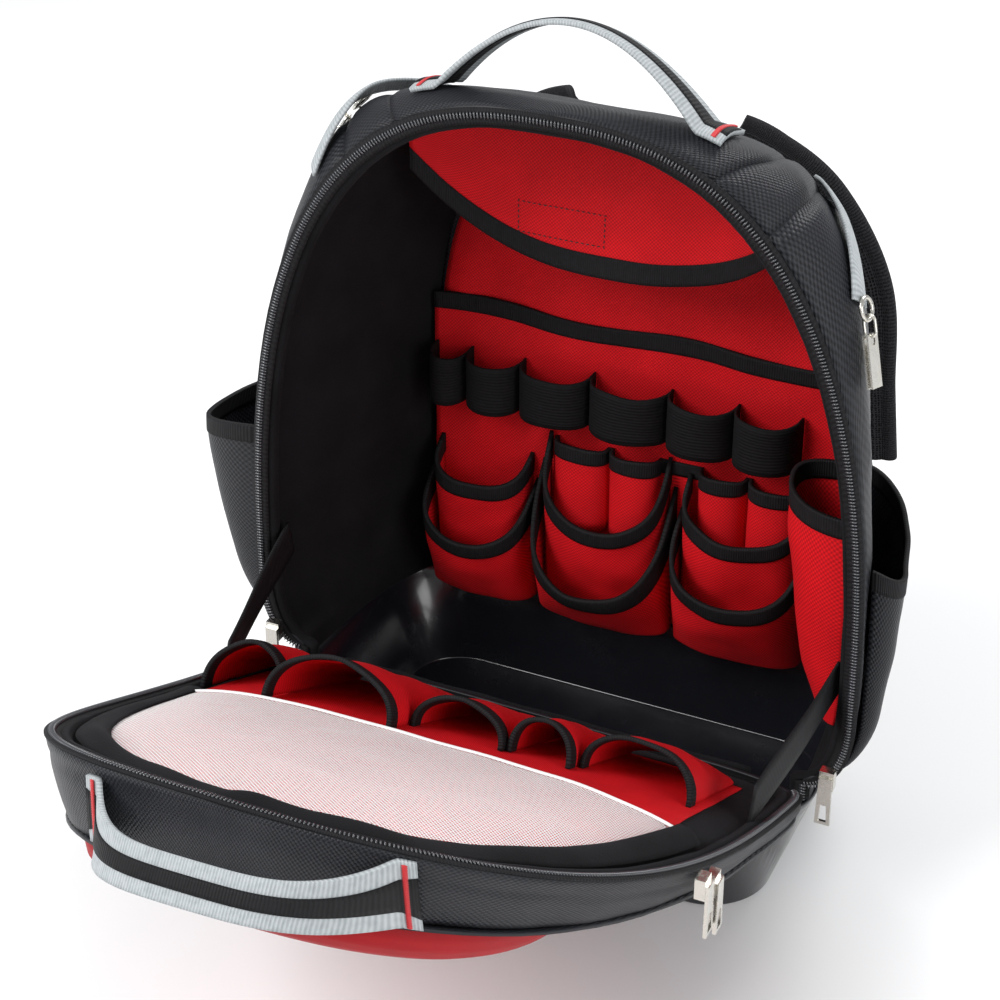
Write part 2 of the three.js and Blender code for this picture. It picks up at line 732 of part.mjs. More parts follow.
addMesh('elastic_loops', sheet(elasticRow.steps, 1, elasticRow.surface, elasticThick), 'elastic');

// A box pocket whose top edge drops from the wall to its front
const pocketY = { sheet: sheetY - cloth / 2 - clothGap, band: shaftY - cloth / 2 - clothGap };
function boxPocket(name, { seat, left, right, wallTop, frontTop, deep, footDeep, bottom }) {
  addMesh(name, sheet(10, 4, (u, v) => {
    const angle = Math.PI * u;
    const x = mix(left, right, (1 - Math.cos(angle)) / 2);
    const out = Math.sin(angle) ** 0.55;
    const top = mix(wallTop, frontTop, out);
    return point(x, pocketY[seat] - mix(deep, footDeep, v ** 1.5) * out, mix(top, bottom, v));
  }, cloth), 'red');
}
const nest = (cloth + clothGap) * 2;
const topEdge = (share) => mix(pocketBottom, sheetTop, share);
columns.forEach(({ name, seat, left, right, upper, lower }) => {
  boxPocket(`upper_pocket_${name}`, {
    seat,
    left: left * sheetHalf + nest,
    right: right * sheetHalf - nest,
    wallTop: topEdge(upper[0]),
    frontTop: topEdge(upper[1]),
    deep: upperDepth,
    footDeep: nestedFootDepth,
    bottom: pocketBottom + nestedLift,
  });
  boxPocket(`lower_pocket_${name}`, {
    seat,
    left: left * sheetHalf,
    right: right * sheetHalf,
    wallTop: topEdge(lower[0]),
    frontTop: topEdge(lower[1]),
    deep: lowerDepth,
    footDeep: pocketFootDepth,
    bottom: pocketBottom,
  });
});

// Flap over the top of the organizer
addMesh('top_flap', sheet(12, 4, (u, v) => {
  const side = 2 * u - 1;
  const x = flapHalf * side;
  const rear = mix(flapY, mouthY + bodyDepth / 2, Math.abs(side) ** 3);
  const top = skinZ(x, rear, -bodyWall) - clothGap * 2;
  const bottom = Math.min(top - 4, flapBottom + flapCorner * Math.abs(side) ** 3);
  return point(x, rear - flapBelly * Math.sin(Math.PI * v / 2) * (1 - side ** 2), mix(top, bottom, v));
}, cloth), 'red');

// Pockets on the sides of the gusset

function sidePocket(name, side, pocket, material) {
  const { top, drop, floor, front, back, bulge, foot, out } = pocket;
  addMesh(name, sheet(12, 4, (u, v) => {
    const angle = Math.PI * u;
    const y = mix(front, back, (1 - Math.cos(angle)) / 2);
    const z = mix(top - drop * Math.sin(angle), floor, 1 - (1 - v) ** 1.6);
    const swell = pocketSeat + cloth / 2 + bulge * Math.sin(angle) ** 0.7 * mix(1, foot, v ** 1.5);
    return point(side * (out > 0 ? skinX(y, z) + swell : skinX(y, z, -bodyWall) - swell), y, z);
  }, cloth), material);
}
const outerPocket = { top: pocketTop, drop: pocketDrop, floor: pocketFloor, out: 1 };
outerPocket.front = pocketFront;
outerPocket.back = pocketBack;
sidePocket('side_pocket_right', 1, { ...outerPocket, bulge: flatBulge, foot: flatFoot }, 'ballistic');
sidePocket('side_pocket_left', -1, { ...outerPocket, bulge: openBulge, foot: openFoot }, 'ballistic');
const innerPocket = { top: wallPocketTop, drop: 0, floor: wallPocketFloor, out: -1 };
innerPocket.front = wallPocketFront;
innerPocket.back = wallPocketBack;
sidePocket('wall_pocket', 1, { ...innerPocket, bulge: wallPocketBulge, foot: openFoot }, 'red');

// Handles

addMesh('top_handle', sheet(18, 3, (u, v) => {
  const x = mix(-1, 1, u) * (handleHalfSpan + handleTail);
  const arc = Math.max(0, 1 - (x / handleHalfSpan) ** 2);
  const y = handleY + mix(-0.5, 0.5, v) * mix(handleWidth, handleGrip, arc);
  const foot = Math.max(Math.abs(x), handleHalfSpan);
  return point(x, y, skinZ(foot, y) + handleSeat + handleThick / 2 + handleRise * arc);
}, handleThick), 'grey');

addMesh('panel_handle', sheet(18, 1, (u, v) => {
  const from = mix(-1, 1, u) * (panelHandleHalfSpan + panelHandleTail);
  const x = panelHandleShift + from;
  const arc = Math.max(0, 1 - (from / panelHandleHalfSpan) ** panelHandlePower);
  const width = mix(panelHandleWidth, panelHandleGrip, arc);
  const middle = panelHandleSeat * depthAt(x, rimRun(x)) + panelHandleDroop * arc;
  const drop = middle + mix(-0.5, 0.5, v) * width;
  const seat = clothGap - facetSag + handleThick / 2 - flareAt(x, rimRun(x), drop) * (1 - arc);
  return panelPoint(x, rimRun(x, seat) + panelHandleStand * arc, drop);
}, handleThick), 'grey');

// Shoulder straps, buckles and webbing

const padFace = padY + padThick;
const routePoint = (side, [x, y, z]) => (
  point(side * x * bodyHalf, padFace + y * strapThick, z * bodyTop));

function alongRoute(route, side, width, across, along, thickness) {
  const line = new THREE.CatmullRomCurve3(route.map((row) => routePoint(side, row)));
  return sheet(across, along, (u, v) => {
    const tangent = line.getTangent(v);
    const sideways = point(tangent.z, 0, -tangent.x).normalize();
    return line.getPoint(v).addScaledVector(sideways, mix(-0.5, 0.5, u) * width);
  }, thickness);
}

function buckle(name, side) {
  const frame = new THREE.Shape();
  const [w, h] = [buckleWidth / 2, buckleHeight / 2];
  frame.moveTo(-w, -h).lineTo(w, -h).lineTo(w, h).lineTo(-w, h).closePath();
  [-1, 1].forEach((end) => {
    const slot = new THREE.Path();
    const [near, far] = [end * buckleBar / 2, end * (h - buckleBar)];
    slot.moveTo(-w + buckleBar, near).lineTo(w - buckleBar, near);
    slot.lineTo(w - buckleBar, far).lineTo(-w + buckleBar, far).closePath();
    frame.holes.push(slot);
  });
  const geometry = new THREE.ExtrudeGeometry(frame, { depth: buckleThick, bevelEnabled: false });
  geometry.translate(0, 0, -buckleThick / 2);
  geometry.rotateX(Math.PI / 2);
  const [top, low] = [strapRoute[strapRoute.length - 1], webRoute[0]].map((row) => routePoint(side, row));
  const mesh = addMesh(name, geometry, 'plastic');
  mesh.position.copy(top.clone().lerp(low, 0.5));
  mesh.rotation.y = Math.atan2(low.x - top.x, low.z - top.z) + Math.PI;
}

// Place on a webbing's route over the gusset: its depth and climb, and a distance beside it
function routePlace(name, v, beside) {
  const route = new THREE.CatmullRomCurve3(sideRoutes[name].map(([depth, climb]) => (
    point(depth * bodyDepth, climb * climbLength, 0))));
  const way = route.getTangent(v);
  const flat = route.getPoint(v);
  return {
    y: mouthY + flat.x + way.y * beside,
    climb: (flat.y - way.x * beside) / climbLength,
  };
}

function overGusset(side, { y, climb }, lift) {
  const p = archPoint(y, climb, lift);
  return point(side * p.x, p.y, p.z);
}

[['right', 1], ['left', -1]].forEach(([name, side]) => {
  addMesh(`shoulder_strap_${name}`, alongRoute(strapRoute, side, strapWidth, 3, 16, strapThick), 'foam');
  buckle(`strap_buckle_${name}`, side);
  addMesh(`strap_webbing_${name}`, alongRoute(webRoute, side, webWidth, 1, 12, webThick), 'ballistic');

  // Strap that holds the panel level with the mouth
  const holdY = mouthY + limitWidth / 2 + gap * 5;
  const holdZ = hipHeight + limitWidth;
  const holdX = skinX(holdY + limitWidth / 2, holdZ, -bodyWall) - clothGap - webThick / 2;
  const restX = panelHalf - zipWidth - clothGap * 3 - webThick / 2;
  const restRun = panelLength * limitRun;
  const restDrop = liningDrop(restX, restRun) - clothGap;
  const rest = (v) => panelPoint(restX, restRun, restDrop - v * limitWidth);
  const fall = rest(0.5).sub(point(holdX, holdY, holdZ));
  const upward = point(0, -fall.z, fall.y).normalize().multiplyScalar(-limitWidth);
  addMesh(`limit_strap_${name}`, sheet(6, 1, (u, v) => {
    const hold = point(holdX, holdY, holdZ).addScaledVector(upward, v - 0.5);
    const p = hold.lerp(rest(v), u);
    return point(side * p.x, p.y, p.z);
  }, webThick), 'elastic');

  // Webbing laid over the gusset
  addMesh(`side_webbing_${name}`, sheet(2, 12, (u, v) => {
    const lift = clothGap + webThick / 2 + sideSlack[name] * Math.sin(Math.PI * v);
    return overGusset(side, routePlace(name, v, mix(-0.5, 0.5, u) * webWidth), lift);
  }, webThick), 'grey');
});

// Rings, chain and clip

// A wire ring drawn out into a long link, its length along local Z
function linkGeometry(length, width, wire, sides = 5, steps = 12) {
  const straight = Math.max(0, length - width) / 2;
  const radius = (width - wire) / 2;
  const loop = (out, side) => Array.from({ length: steps }, (_, i) => {
    const angle = i / steps * Math.PI * 2;
    const end = Math.sign(Math.round(Math.sin(angle) * 1e6)) * straight;
    return point((radius + out) * Math.cos(angle), side, end + (radius + out) * Math.sin(angle));
  });
  const sections = Array.from({ length: sides }, (_, k) => {
    const angle = k / sides * Math.PI * 2;
    return loop(-Math.cos(angle) * wire / 2, Math.sin(angle) * wire / 2);
  });
  const vertices = sections.flat();
  const triangles = [];
  for (let k = 0; k < sides; k += 1) {
    for (let i = 0; i < steps; i += 1) {
      const [a, b] = [k * steps + i, k * steps + (i + 1) % steps];
      const [c, d] = [((k + 1) % sides) * steps + (i + 1) % steps, ((k + 1) % sides) * steps + i];
      triangles.push(a, b, c, a, c, d);
    }
  }
  return geometryOf(vertices, triangles);
}

// Something that hangs over the gusset from a place, leaning forward or back as it falls
function hangFrom(side, { y, climb }, lean) {
  const over = (run, lift, beside = 0) => overGusset(side, {
    y: y + lean * run + beside,
    climb: climb - Math.sqrt(1 - lean ** 2) * run / climbLength,
  }, lift);
  // A fall is measured along the skin in steps of about a millimetre
  const runTo = (fall) => {
    const steps = Math.max(1, Math.ceil(Math.abs(fall)));
    let run = 0;
    for (let k = 0; k < steps; k += 1) {
      run += fall / steps / over(run - 0.5, metalLift).distanceTo(over(run + 0.5, metalLift));
    }
    return run;
  };
  const at = (fall, lift, beside) => over(runTo(fall), lift, beside);
  // Turns a piece's length to the fall and its thin side to the skin, then spins it
  const set = (mesh, fall, lift, spin) => {
    const upward = at(fall - 1, lift).sub(at(fall + 1, lift)).normalize();
    const outward = at(fall, lift + 1).sub(at(fall, lift));
    const across = outward.clone().cross(upward).normalize();
    const square = upward.clone().cross(across);
    const turn = new THREE.Matrix4().makeBasis(across, square, upward);
    mesh.quaternion.setFromRotationMatrix(turn);
    mesh.position.copy(at(fall, lift));
    mesh.rotateZ(spin);
  };
  return { at, set };
}

const ringGeometry = linkGeometry(ringSize, ringSize, ringWire);
const chainGeometry = linkGeometry(linkLength, linkWidth, linkWire);
const quarter = Math.PI / 2;
const linkInner = linkLength / 2 - linkWire;
const firstLink = ringSize / 2 - ringWire + linkInner - gap;

const clipHang = hangFrom(1, routePlace('right', 1, 0), clipLean);
const clipRingFall = ringSize / 2 - ringWire;
clipHang.set(addMesh('clip_ring', ringGeometry, 'nickel'), clipRingFall, ringLift, 0);
const clipLinkFall = clipRingFall + firstLink;
clipHang.set(addMesh('clip_link', chainGeometry, 'nickel'), clipLinkFall, metalLift, quarter);

// Folded plate that hangs by a hole in its bend
const fold = new THREE.Shape();
const [foldOut, foldIn] = [clipThick / 2, clipThick / 2 - clipWall];
fold.moveTo(-foldOut, 0).lineTo(-foldOut, clipHeight).lineTo(foldOut, clipHeight).lineTo(foldOut, 0);
fold.lineTo(foldIn, 0).lineTo(foldIn, clipHeight - clipWall);
fold.lineTo(-foldIn, clipHeight - clipWall).lineTo(-foldIn, 0).closePath();
const foldGeometry = new THREE.ExtrudeGeometry(fold, { depth: clipWidth, bevelEnabled: false });
foldGeometry.translate(0, -clipHeight + clipHole + clipBridge, -clipWidth / 2);
foldGeometry.applyMatrix4(new THREE.Matrix4().makeBasis(point(0, 1, 0), point(0, 0, 1), point(1, 0, 0)));
const holeGeometry = new THREE.CylinderGeometry(clipHole, clipHole, clipThick * 2, 12);
const clipSolid = toManifold(foldGeometry).subtract(toManifold(holeGeometry));
const linkBend = linkWidth / 2 - linkWire;
const bendRise = linkBend - Math.sqrt(linkBend ** 2 - foldOut ** 2);
const clipHoleFall = clipLinkFall + linkInner + clipHole - gap - bendRise;
clipHang.set(addMesh('clip_plate', fromManifold(clipSolid), 'nickel'), clipHoleFall, metalLift, 0);

const chainLift = metalLift + sideSlack.left / 3;
const chainSide = -(webWidth + ringSize) / 2 - gap;
const chainHang = hangFrom(-1, routePlace('left', chainAt, chainSide), 0);
chainHang.set(addMesh('chain_ring', ringGeometry, 'nickel'), 0, chainLift, 0);
const linkStep = linkInner * 2 - gap;
for (let k = 0; k < chainLinks; k += 1) {
  const mesh = addMesh(`chain_link_${k + 1}`, chainGeometry, 'nickel');
  chainHang.set(mesh, firstLink + k * linkStep, chainLift, (k % 2 ? 0 : 1) * quarter);
}
const strapStart = firstLink + (chainLinks - 1) * linkStep + linkLength / 2 + gap;
addMesh('chain_strap', sheet(1, 8, (u, v) => {
  const lift = mix(chainLift, webThick, Math.min(1, v * 3));
  const beside = mix(-0.5, 0.5, u) * chainStrapWidth;
  return chainHang.at(strapStart + chainStrapLength * v, lift, beside);
}, webThick), 'elastic');

// Zip sliders with their pulls, lying against what is behind them and hanging down
const pullShape = new THREE.Shape();
const [pullHigh, pullLow] = [pullTop / 2, pullBottom / 2];
pullShape.moveTo(-pullHigh, bailWidth).lineTo(-pullLow, bailWidth - pullLength);
pullShape.lineTo(pullLow, bailWidth - pullLength).lineTo(pullHigh, bailWidth).closePath();
const slot = new THREE.Path();
const slotLow = bailWidth - pullLength + pullRim;
slot.moveTo(pullRim - pullLow, slotLow).lineTo(pullLow - pullRim, slotLow);
slot.lineTo(pullHigh - pullRim, slotLow + pullSlot).lineTo(pullRim - pullHigh, slotLow + pullSlot);
slot.closePath();
pullShape.holes.push(slot);
const pullPlate = new THREE.ExtrudeGeometry(pullShape, { depth: pullThick, bevelEnabled: false });
pullPlate.applyMatrix4(new THREE.Matrix4().makeBasis(point(0, 1, 0), point(0, 0, 1), point(1, 0, 0)));
pullPlate.translate(bailReach - pullThick, 0, 0);
const sliderBody = new THREE.BoxGeometry(sliderThick, sliderWidth, sliderLength);
sliderBody.translate(sliderThick / 2, 0, 0);
const bail = new THREE.BoxGeometry(bailReach - pullThick / 2, bailWidth, bailWidth);
bail.translate((bailReach - pullThick / 2) / 2, 0, 0);
const pullSolid = toManifold(sliderBody).add(toManifold(bail)).add(toManifold(pullPlate));
const pullGeometry = fromManifold(pullSolid);

[['right', 1], ['left', -1]].forEach(([name, side]) => {
  const mesh = addMesh(`zip_pull_${name}`, pullGeometry, 'nickel');
  mesh.rotation.z = -quarter;
  const outer = skinX(mouthY, mainPullHeight);
  mesh.position.set(side * (outer - sliderWidth / 2), mouthY - gap - zipThick - gap, mainPullHeight);
});
[-0.5, 0.5].forEach((shift, k) => {
  const mesh = addMesh(`panel_pull_${k + 1}`, pullGeometry, 'nickel');
  const run = pairRun * panelLength + shift * pairSpace;
  mesh.position.copy(panelPoint(rimX(run) + pairSeat, run, pairDrop));
});

export default group;
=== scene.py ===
# Tool backpack, standing open on its moulded base with the front panel let down. The sizes below
# are millimetres in the CAD frame: +Z up, +Y towards the wearer's back. Pieces end up in metres.
import math

import bmesh
import bpy
from mathutils import Matrix, Vector, noise


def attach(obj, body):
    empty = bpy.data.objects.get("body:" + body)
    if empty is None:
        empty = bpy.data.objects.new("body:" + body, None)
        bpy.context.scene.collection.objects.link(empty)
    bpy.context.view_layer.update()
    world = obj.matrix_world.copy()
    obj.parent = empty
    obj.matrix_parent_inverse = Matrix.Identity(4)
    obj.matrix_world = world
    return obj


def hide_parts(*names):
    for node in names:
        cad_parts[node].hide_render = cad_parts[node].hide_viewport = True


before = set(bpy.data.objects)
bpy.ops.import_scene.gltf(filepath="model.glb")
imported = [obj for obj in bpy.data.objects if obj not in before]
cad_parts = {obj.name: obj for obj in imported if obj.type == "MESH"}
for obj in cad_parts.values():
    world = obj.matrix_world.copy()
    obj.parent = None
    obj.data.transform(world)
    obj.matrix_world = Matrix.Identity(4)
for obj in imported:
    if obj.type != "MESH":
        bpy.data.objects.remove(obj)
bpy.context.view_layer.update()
MM = 0.001


# Studio: a plain pale floor, a large soft key from the upper left, a fill and a rim light, and the
# camera at the photograph's angle above the floor.
def tone(code):
    """An sRGB hex colour as linear light."""
    parts = [int(code[i:i + 2], 16) / 255 for i in (1, 3, 5)]
    return [c / 12.92 if c <= 0.04045 else ((c + 0.055) / 1.055) ** 2.4 for c in parts] + [1.0]


def add_node(material, kind, settings=None, links=None):
    """One node with its settings and the sockets that feed it."""
    node = material.node_tree.nodes.new(kind)
    for key, value in (settings or {}).items():
        if isinstance(key, int) or key in node.inputs:
            node.inputs[key].default_value = value
        else:
            setattr(node, key, value)
    for key, socket in (links or {}).items():
        material.node_tree.links.new(socket, node.inputs[key])
    return node


def new_finish(name):
    material = bpy.data.materials.new(name)
    material.use_nodes = True
    material.node_tree.nodes.clear()
    return material


def close_finish(material, surface):
    add_node(material, "ShaderNodeOutputMaterial", None, {"Surface": surface.outputs[0]})
    return material


camera = bpy.data.objects.new("camera", bpy.data.cameras.new("camera"))
camera.data.sensor_width = 36
camera.data.lens = 84.83
camera.location = Vector((475.5, -1160.5, 981.3)) * MM
aim = Vector((-21.02, -80.0, 254.95)) * MM - camera.location
camera.rotation_euler = aim.to_track_quat("-Z", "Y").to_euler()
bpy.context.collection.objects.link(camera)
bpy.context.scene.camera = camera

floor_mesh = bpy.data.meshes.new("floor")
bm = bmesh.new()
bmesh.ops.create_grid(bm, x_segments=1, y_segments=1, size=4)
bmesh.ops.translate(bm, vec=(0, 0, -0.0003), verts=bm.verts)
bm.to_mesh(floor_mesh)
bm.free()
floor = bpy.data.objects.new("floor", floor_mesh)
bpy.context.collection.objects.link(floor)
paper = new_finish("matt white paper")
close_finish(paper, add_node(paper, "ShaderNodeBsdfPrincipled", {
    "Base Color": tone("#f4f4f4"), "Roughness": 0.9}))
floor_mesh.materials.append(paper)

world = bpy.data.worlds.new("studio")
world.use_nodes = True
world.node_tree.nodes["Background"].inputs["Color"].default_value = tone("#f7f9fc")
world.node_tree.nodes["Background"].inputs["Strength"].default_value = 0.56
bpy.context.scene.world = world
bpy.context.scene.view_settings.view_transform = "Standard"

LIGHTS = [
    {"name": "key", "place": (-1.3, -1.5, 2.0), "size": 1.5, "power": 60},
    {"name": "fill", "place": (1.9, -1.0, 1.1), "size": 1.3, "power": 22},
    {"name": "rim", "place": (0.4, 1.5, 1.9), "size": 1.2, "power": 30},
]
for row in LIGHTS:
    lamp = bpy.data.lights.new(row["name"], "AREA")
    lamp.shape = "SQUARE"
    lamp.size = row["size"]
    lamp.energy = row["power"]
    light = bpy.data.objects.new(row["name"], lamp)
    light.location = row["place"]
    light.rotation_euler = (Vector((0, -0.1, 0.2)) - light.location).to_track_quat("-Z", "Y").to_euler()
    bpy.context.collection.objects.link(light)


# Base: one deep tray moulded in glossy black ABS, its walls drafted outwards, with a shallow step
# under the rim that the cloth body is sewn and riveted to.
TRAY_DEPTH, TRAY_HEIGHT, TRAY_WALL = 184.0, 82.0, 4.0
TRAY_HALF_BOTTOM, TRAY_HALF_TOP = 153.0, 178.0
TRAY_FLARE = 4.0
TRAY_CORNER = 42.0


def mix(a, b, t):
    return a + (b - a) * t


def put(name, bm, finishes, smooth=True):
    """Takes a mesh from millimetres to metres, and sets it on the object's only body."""
    bmesh.ops.scale(bm, vec=(MM, MM, MM), verts=bm.verts)
    mesh = bpy.data.meshes.new(name)
    bm.to_mesh(mesh)
    bm.free()
    for polygon in mesh.polygons:
        polygon.use_smooth = smooth
    for finish in finishes:
        mesh.materials.append(finish)
    obj = bpy.data.objects.new(name, mesh)
    bpy.context.collection.objects.link(obj)
    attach(obj, "root")
    return obj


# Moulded ABS: glossy, with the faint orange peel and fine scuffs of a tool bag's base.
moulded_abs = new_finish("moulded black ABS")
place = add_node(moulded_abs, "ShaderNodeTexCoord")
peel = add_node(moulded_abs, "ShaderNodeTexNoise", {"Scale": 260.0, "Detail": 2.0}, {
    "Vector": place.outputs["Object"]})
scuff = add_node(moulded_abs, "ShaderNodeTexNoise", {"Scale": 22.0, "Detail": 8.0, "Roughness": 0.7}, {
    "Vector": place.outputs["Object"]})
worn = add_node(moulded_abs, "ShaderNodeMapRange", {
    "From Min": 0.35, "From Max": 0.75, "To Min": 0.16, "To Max": 0.34}, {"Value": scuff.outputs[0]})
relief = add_node(moulded_abs, "ShaderNodeBump", {"Strength": 0.12, "Distance": 0.0004}, {
    "Height": peel.outputs[0]})
close_finish(moulded_abs, add_node(moulded_abs, "ShaderNodeBsdfPrincipled", {
    "Base Color": tone("#17181d"), "IOR": 1.53, "Coat Weight": 0.4, "Coat Roughness": 0.12}, {
    "Roughness": worn.outputs[0], "Normal": relief.outputs[0]}))

bm = bmesh.new()
bmesh.ops.create_cube(bm, size=1)
bmesh.ops.scale(bm, vec=(2 * TRAY_HALF_BOTTOM, TRAY_DEPTH, TRAY_HEIGHT), verts=bm.verts)
bmesh.ops.translate(bm, vec=(0, 0, TRAY_HEIGHT / 2), verts=bm.verts)
corners = [e for e in bm.edges if abs(e.verts[0].co.z - e.verts[1].co.z) > 1]
bmesh.ops.bevel(bm, geom=corners, offset=TRAY_CORNER, segments=14, profile=0.5, affect="EDGES", material=-1)
top = max(bm.faces, key=lambda f: f.calc_center_median().z)
bmesh.ops.inset_region(bm, faces=[top], thickness=TRAY_WALL)
well = bmesh.ops.extrude_discrete_faces(bm, faces=[top])["faces"]
bmesh.ops.translate(bm, vec=(0, 0, 5 - TRAY_HEIGHT), verts=well[0].verts)
for level in (TRAY_HEIGHT - 12, TRAY_HEIGHT - 10.5):
    bmesh.ops.bisect_plane(bm, geom=bm.verts[:] + bm.edges[:] + bm.faces[:], plane_co=(0, 0, level),
                           plane_no=(0, 0, 1))
for vert in bm.verts:
    share = vert.co.z / TRAY_HEIGHT
    step = 0 if vert.co.z > TRAY_HEIGHT - 11 else -1.5
    half = mix(TRAY_HALF_BOTTOM, TRAY_HALF_TOP, share) + step
    reach = TRAY_DEPTH / 2 + TRAY_FLARE * share / 2 + step
    vert.co.x *= half / TRAY_HALF_BOTTOM
    vert.co.y *= reach / (TRAY_DEPTH / 2)
rounded = [e for e in bm.edges if e.is_manifold and e.calc_face_angle(0) > 0.7]
bmesh.ops.bevel(bm, geom=rounded, offset=1.6, segments=3, profile=0.5, affect="EDGES", material=-1,
                clamp_overlap=True)
bmesh.ops.recalc_face_normals(bm, faces=bm.faces)
tray = put("moulded_tray", bm, [moulded_abs])
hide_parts("base_tray")


# Gusset: five panels of black ballistic cloth over foam, seamed to each other and lined with black
# brushed cloth. It forms the arch-shaped body, widest at the mouth and drawn in towards the back.
MOUTH_Y, BODY_DEPTH, BODY_HALF, BODY_TOP = -62.0, 150.0, 201.5, 495.0
HIP_Z, KNEE_Z, BODY_FOOT, BODY_WALL = 142.8, 95.7, 177.0, 7.0
BACK_Y = MOUTH_Y + BODY_DEPTH
# Depth, half width, top, foot and roundness, from the mouth to the back
BODY_ROWS = [
    (0.00, 1.000, 1.000, 1.00, 2.57), (0.12, 0.978, 1.000, 1.00, 3.20), (0.28, 0.921, 0.984, 0.99, 4.10),
    (0.55, 0.859, 0.950, 0.96, 4.20), (0.80, 0.806, 0.907, 0.91, 4.10), (1.00, 0.744, 0.859, 0.83, 3.60),
]


def body_row(y):
    """Half width, top, foot and roundness at a depth, eased through the rows."""
    share = min(1.0, max(0.0, (y - MOUTH_Y) / BODY_DEPTH))
    k = next(i for i in range(1, 6) if BODY_ROWS[i][0] >= share)
    a, b = BODY_ROWS[k - 1], BODY_ROWS[k]
    before, after = BODY_ROWS[max(0, k - 2)], BODY_ROWS[min(5, k + 1)]
    span = b[0] - a[0]
    t = (share - a[0]) / span
    values = []
    for c in range(1, 5):
        rise_a = (b[c] - before[c]) / (b[0] - before[0]) * span
        rise_b = (after[c] - a[c]) / (after[0] - a[0]) * span
        values.append(a[c] * (1 + 2 * t) * (1 - t) ** 2 + rise_a * t * (1 - t) ** 2
                      + b[c] * t * t * (3 - 2 * t) + rise_b * t * t * (t - 1))
    return BODY_HALF * values[0], BODY_TOP * values[1], BODY_FOOT * values[2], values[3]


def arch_point(y, way, out=0.0):
    """Point of the body's arch at a depth: way runs -1 foot, 0 hip, 1 crown, 2 hip, 3 foot."""
    half, top, foot, power = body_row(y)
    side = 1 if way <= 1 else -1
    climb = way if way <= 1 else 2 - way
    if climb < 0:
        z = mix(HIP_Z, TRAY_HEIGHT + 0.3, -climb)
        bulge = math.sqrt(max(0.0, 1 - ((HIP_Z - z) / (HIP_Z - KNEE_Z)) ** 2)) if z > KNEE_Z else 0
        return Vector((side * (foot + out + (half - foot) * bulge), y, z))
    even = climb ** 1.5 / (climb ** 1.5 + (1 - climb) ** 1.5)
    angle = even * math.pi / 2
    x = (half + out) * math.cos(angle) ** (2 / power) if even < 1 else 0.0
    z = HIP_Z + (top + out - HIP_Z) * math.sin(angle) ** (2 / power)
    return Vector((side * x, y, z))


def skin_x(y, z, out=0.0):
    half, top, foot, power = body_row(y)
    if z < HIP_Z:
        bulge = math.sqrt(max(0.0, 1 - ((HIP_Z - z) / (HIP_Z - KNEE_Z)) ** 2)) if z > KNEE_Z else 0
        return foot + out + (half - foot) * bulge
    share = min(1.0, (z - HIP_Z) / (top + out - HIP_Z))
    return (half + out) * (1 - share ** power) ** (1 / power)


def skin_z(x, y, out=0.0):
    half, top, _, power = body_row(y)
    share = min(1.0, abs(x) / (half + out))
    return HIP_Z + (top + out - HIP_Z) * (1 - share ** power) ** (1 / power)


def rumple(p, size, height):
    """The slack of cloth: a smooth dent or rise at a place, the same on every run."""
    return noise.noise(Vector(p) / size) * height


def cloth(name, across, along, surface, thickness, finishes, offset=0.0, closed=False, soften=0):
    """A sheet that follows surface(u, v), with a UV map in millimetres along the cloth."""
    bm = bmesh.new()
    bmesh.ops.create_grid(bm, x_segments=across, y_segments=along, size=0.5)
    uv = bm.loops.layers.uv.new("cloth")
    middle = [surface(i / 24, 0.5) for i in range(25)]
    height = [surface(0.5, i / 24) for i in range(25)]
    wide = sum((b - a).length for a, b in zip(middle, middle[1:]))
    long = sum((b - a).length for a, b in zip(height, height[1:]))
    for face in bm.faces:
        for loop in face.loops:
            loop[uv].uv = ((loop.vert.co.x + 0.5) * wide, (loop.vert.co.y + 0.5) * long)
    for vert in bm.verts:
        vert.co = surface(vert.co.x + 0.5, vert.co.y + 0.5)
    if closed:
        bmesh.ops.remove_doubles(bm, verts=bm.verts, dist=0.01)
    piece = put(name, bm, finishes)
    if thickness:
        wall = piece.modifiers.new("cloth thickness", "SOLIDIFY")
        wall.thickness = thickness * MM
        wall.offset = offset
        wall.use_even_offset = False
        if len(finishes) > 1:
            wall.material_offset = 1
    if soften:
        smooth = piece.modifiers.new("soft edges", "SUBSURF")
        smooth.levels = smooth.render_levels = soften
    return piece


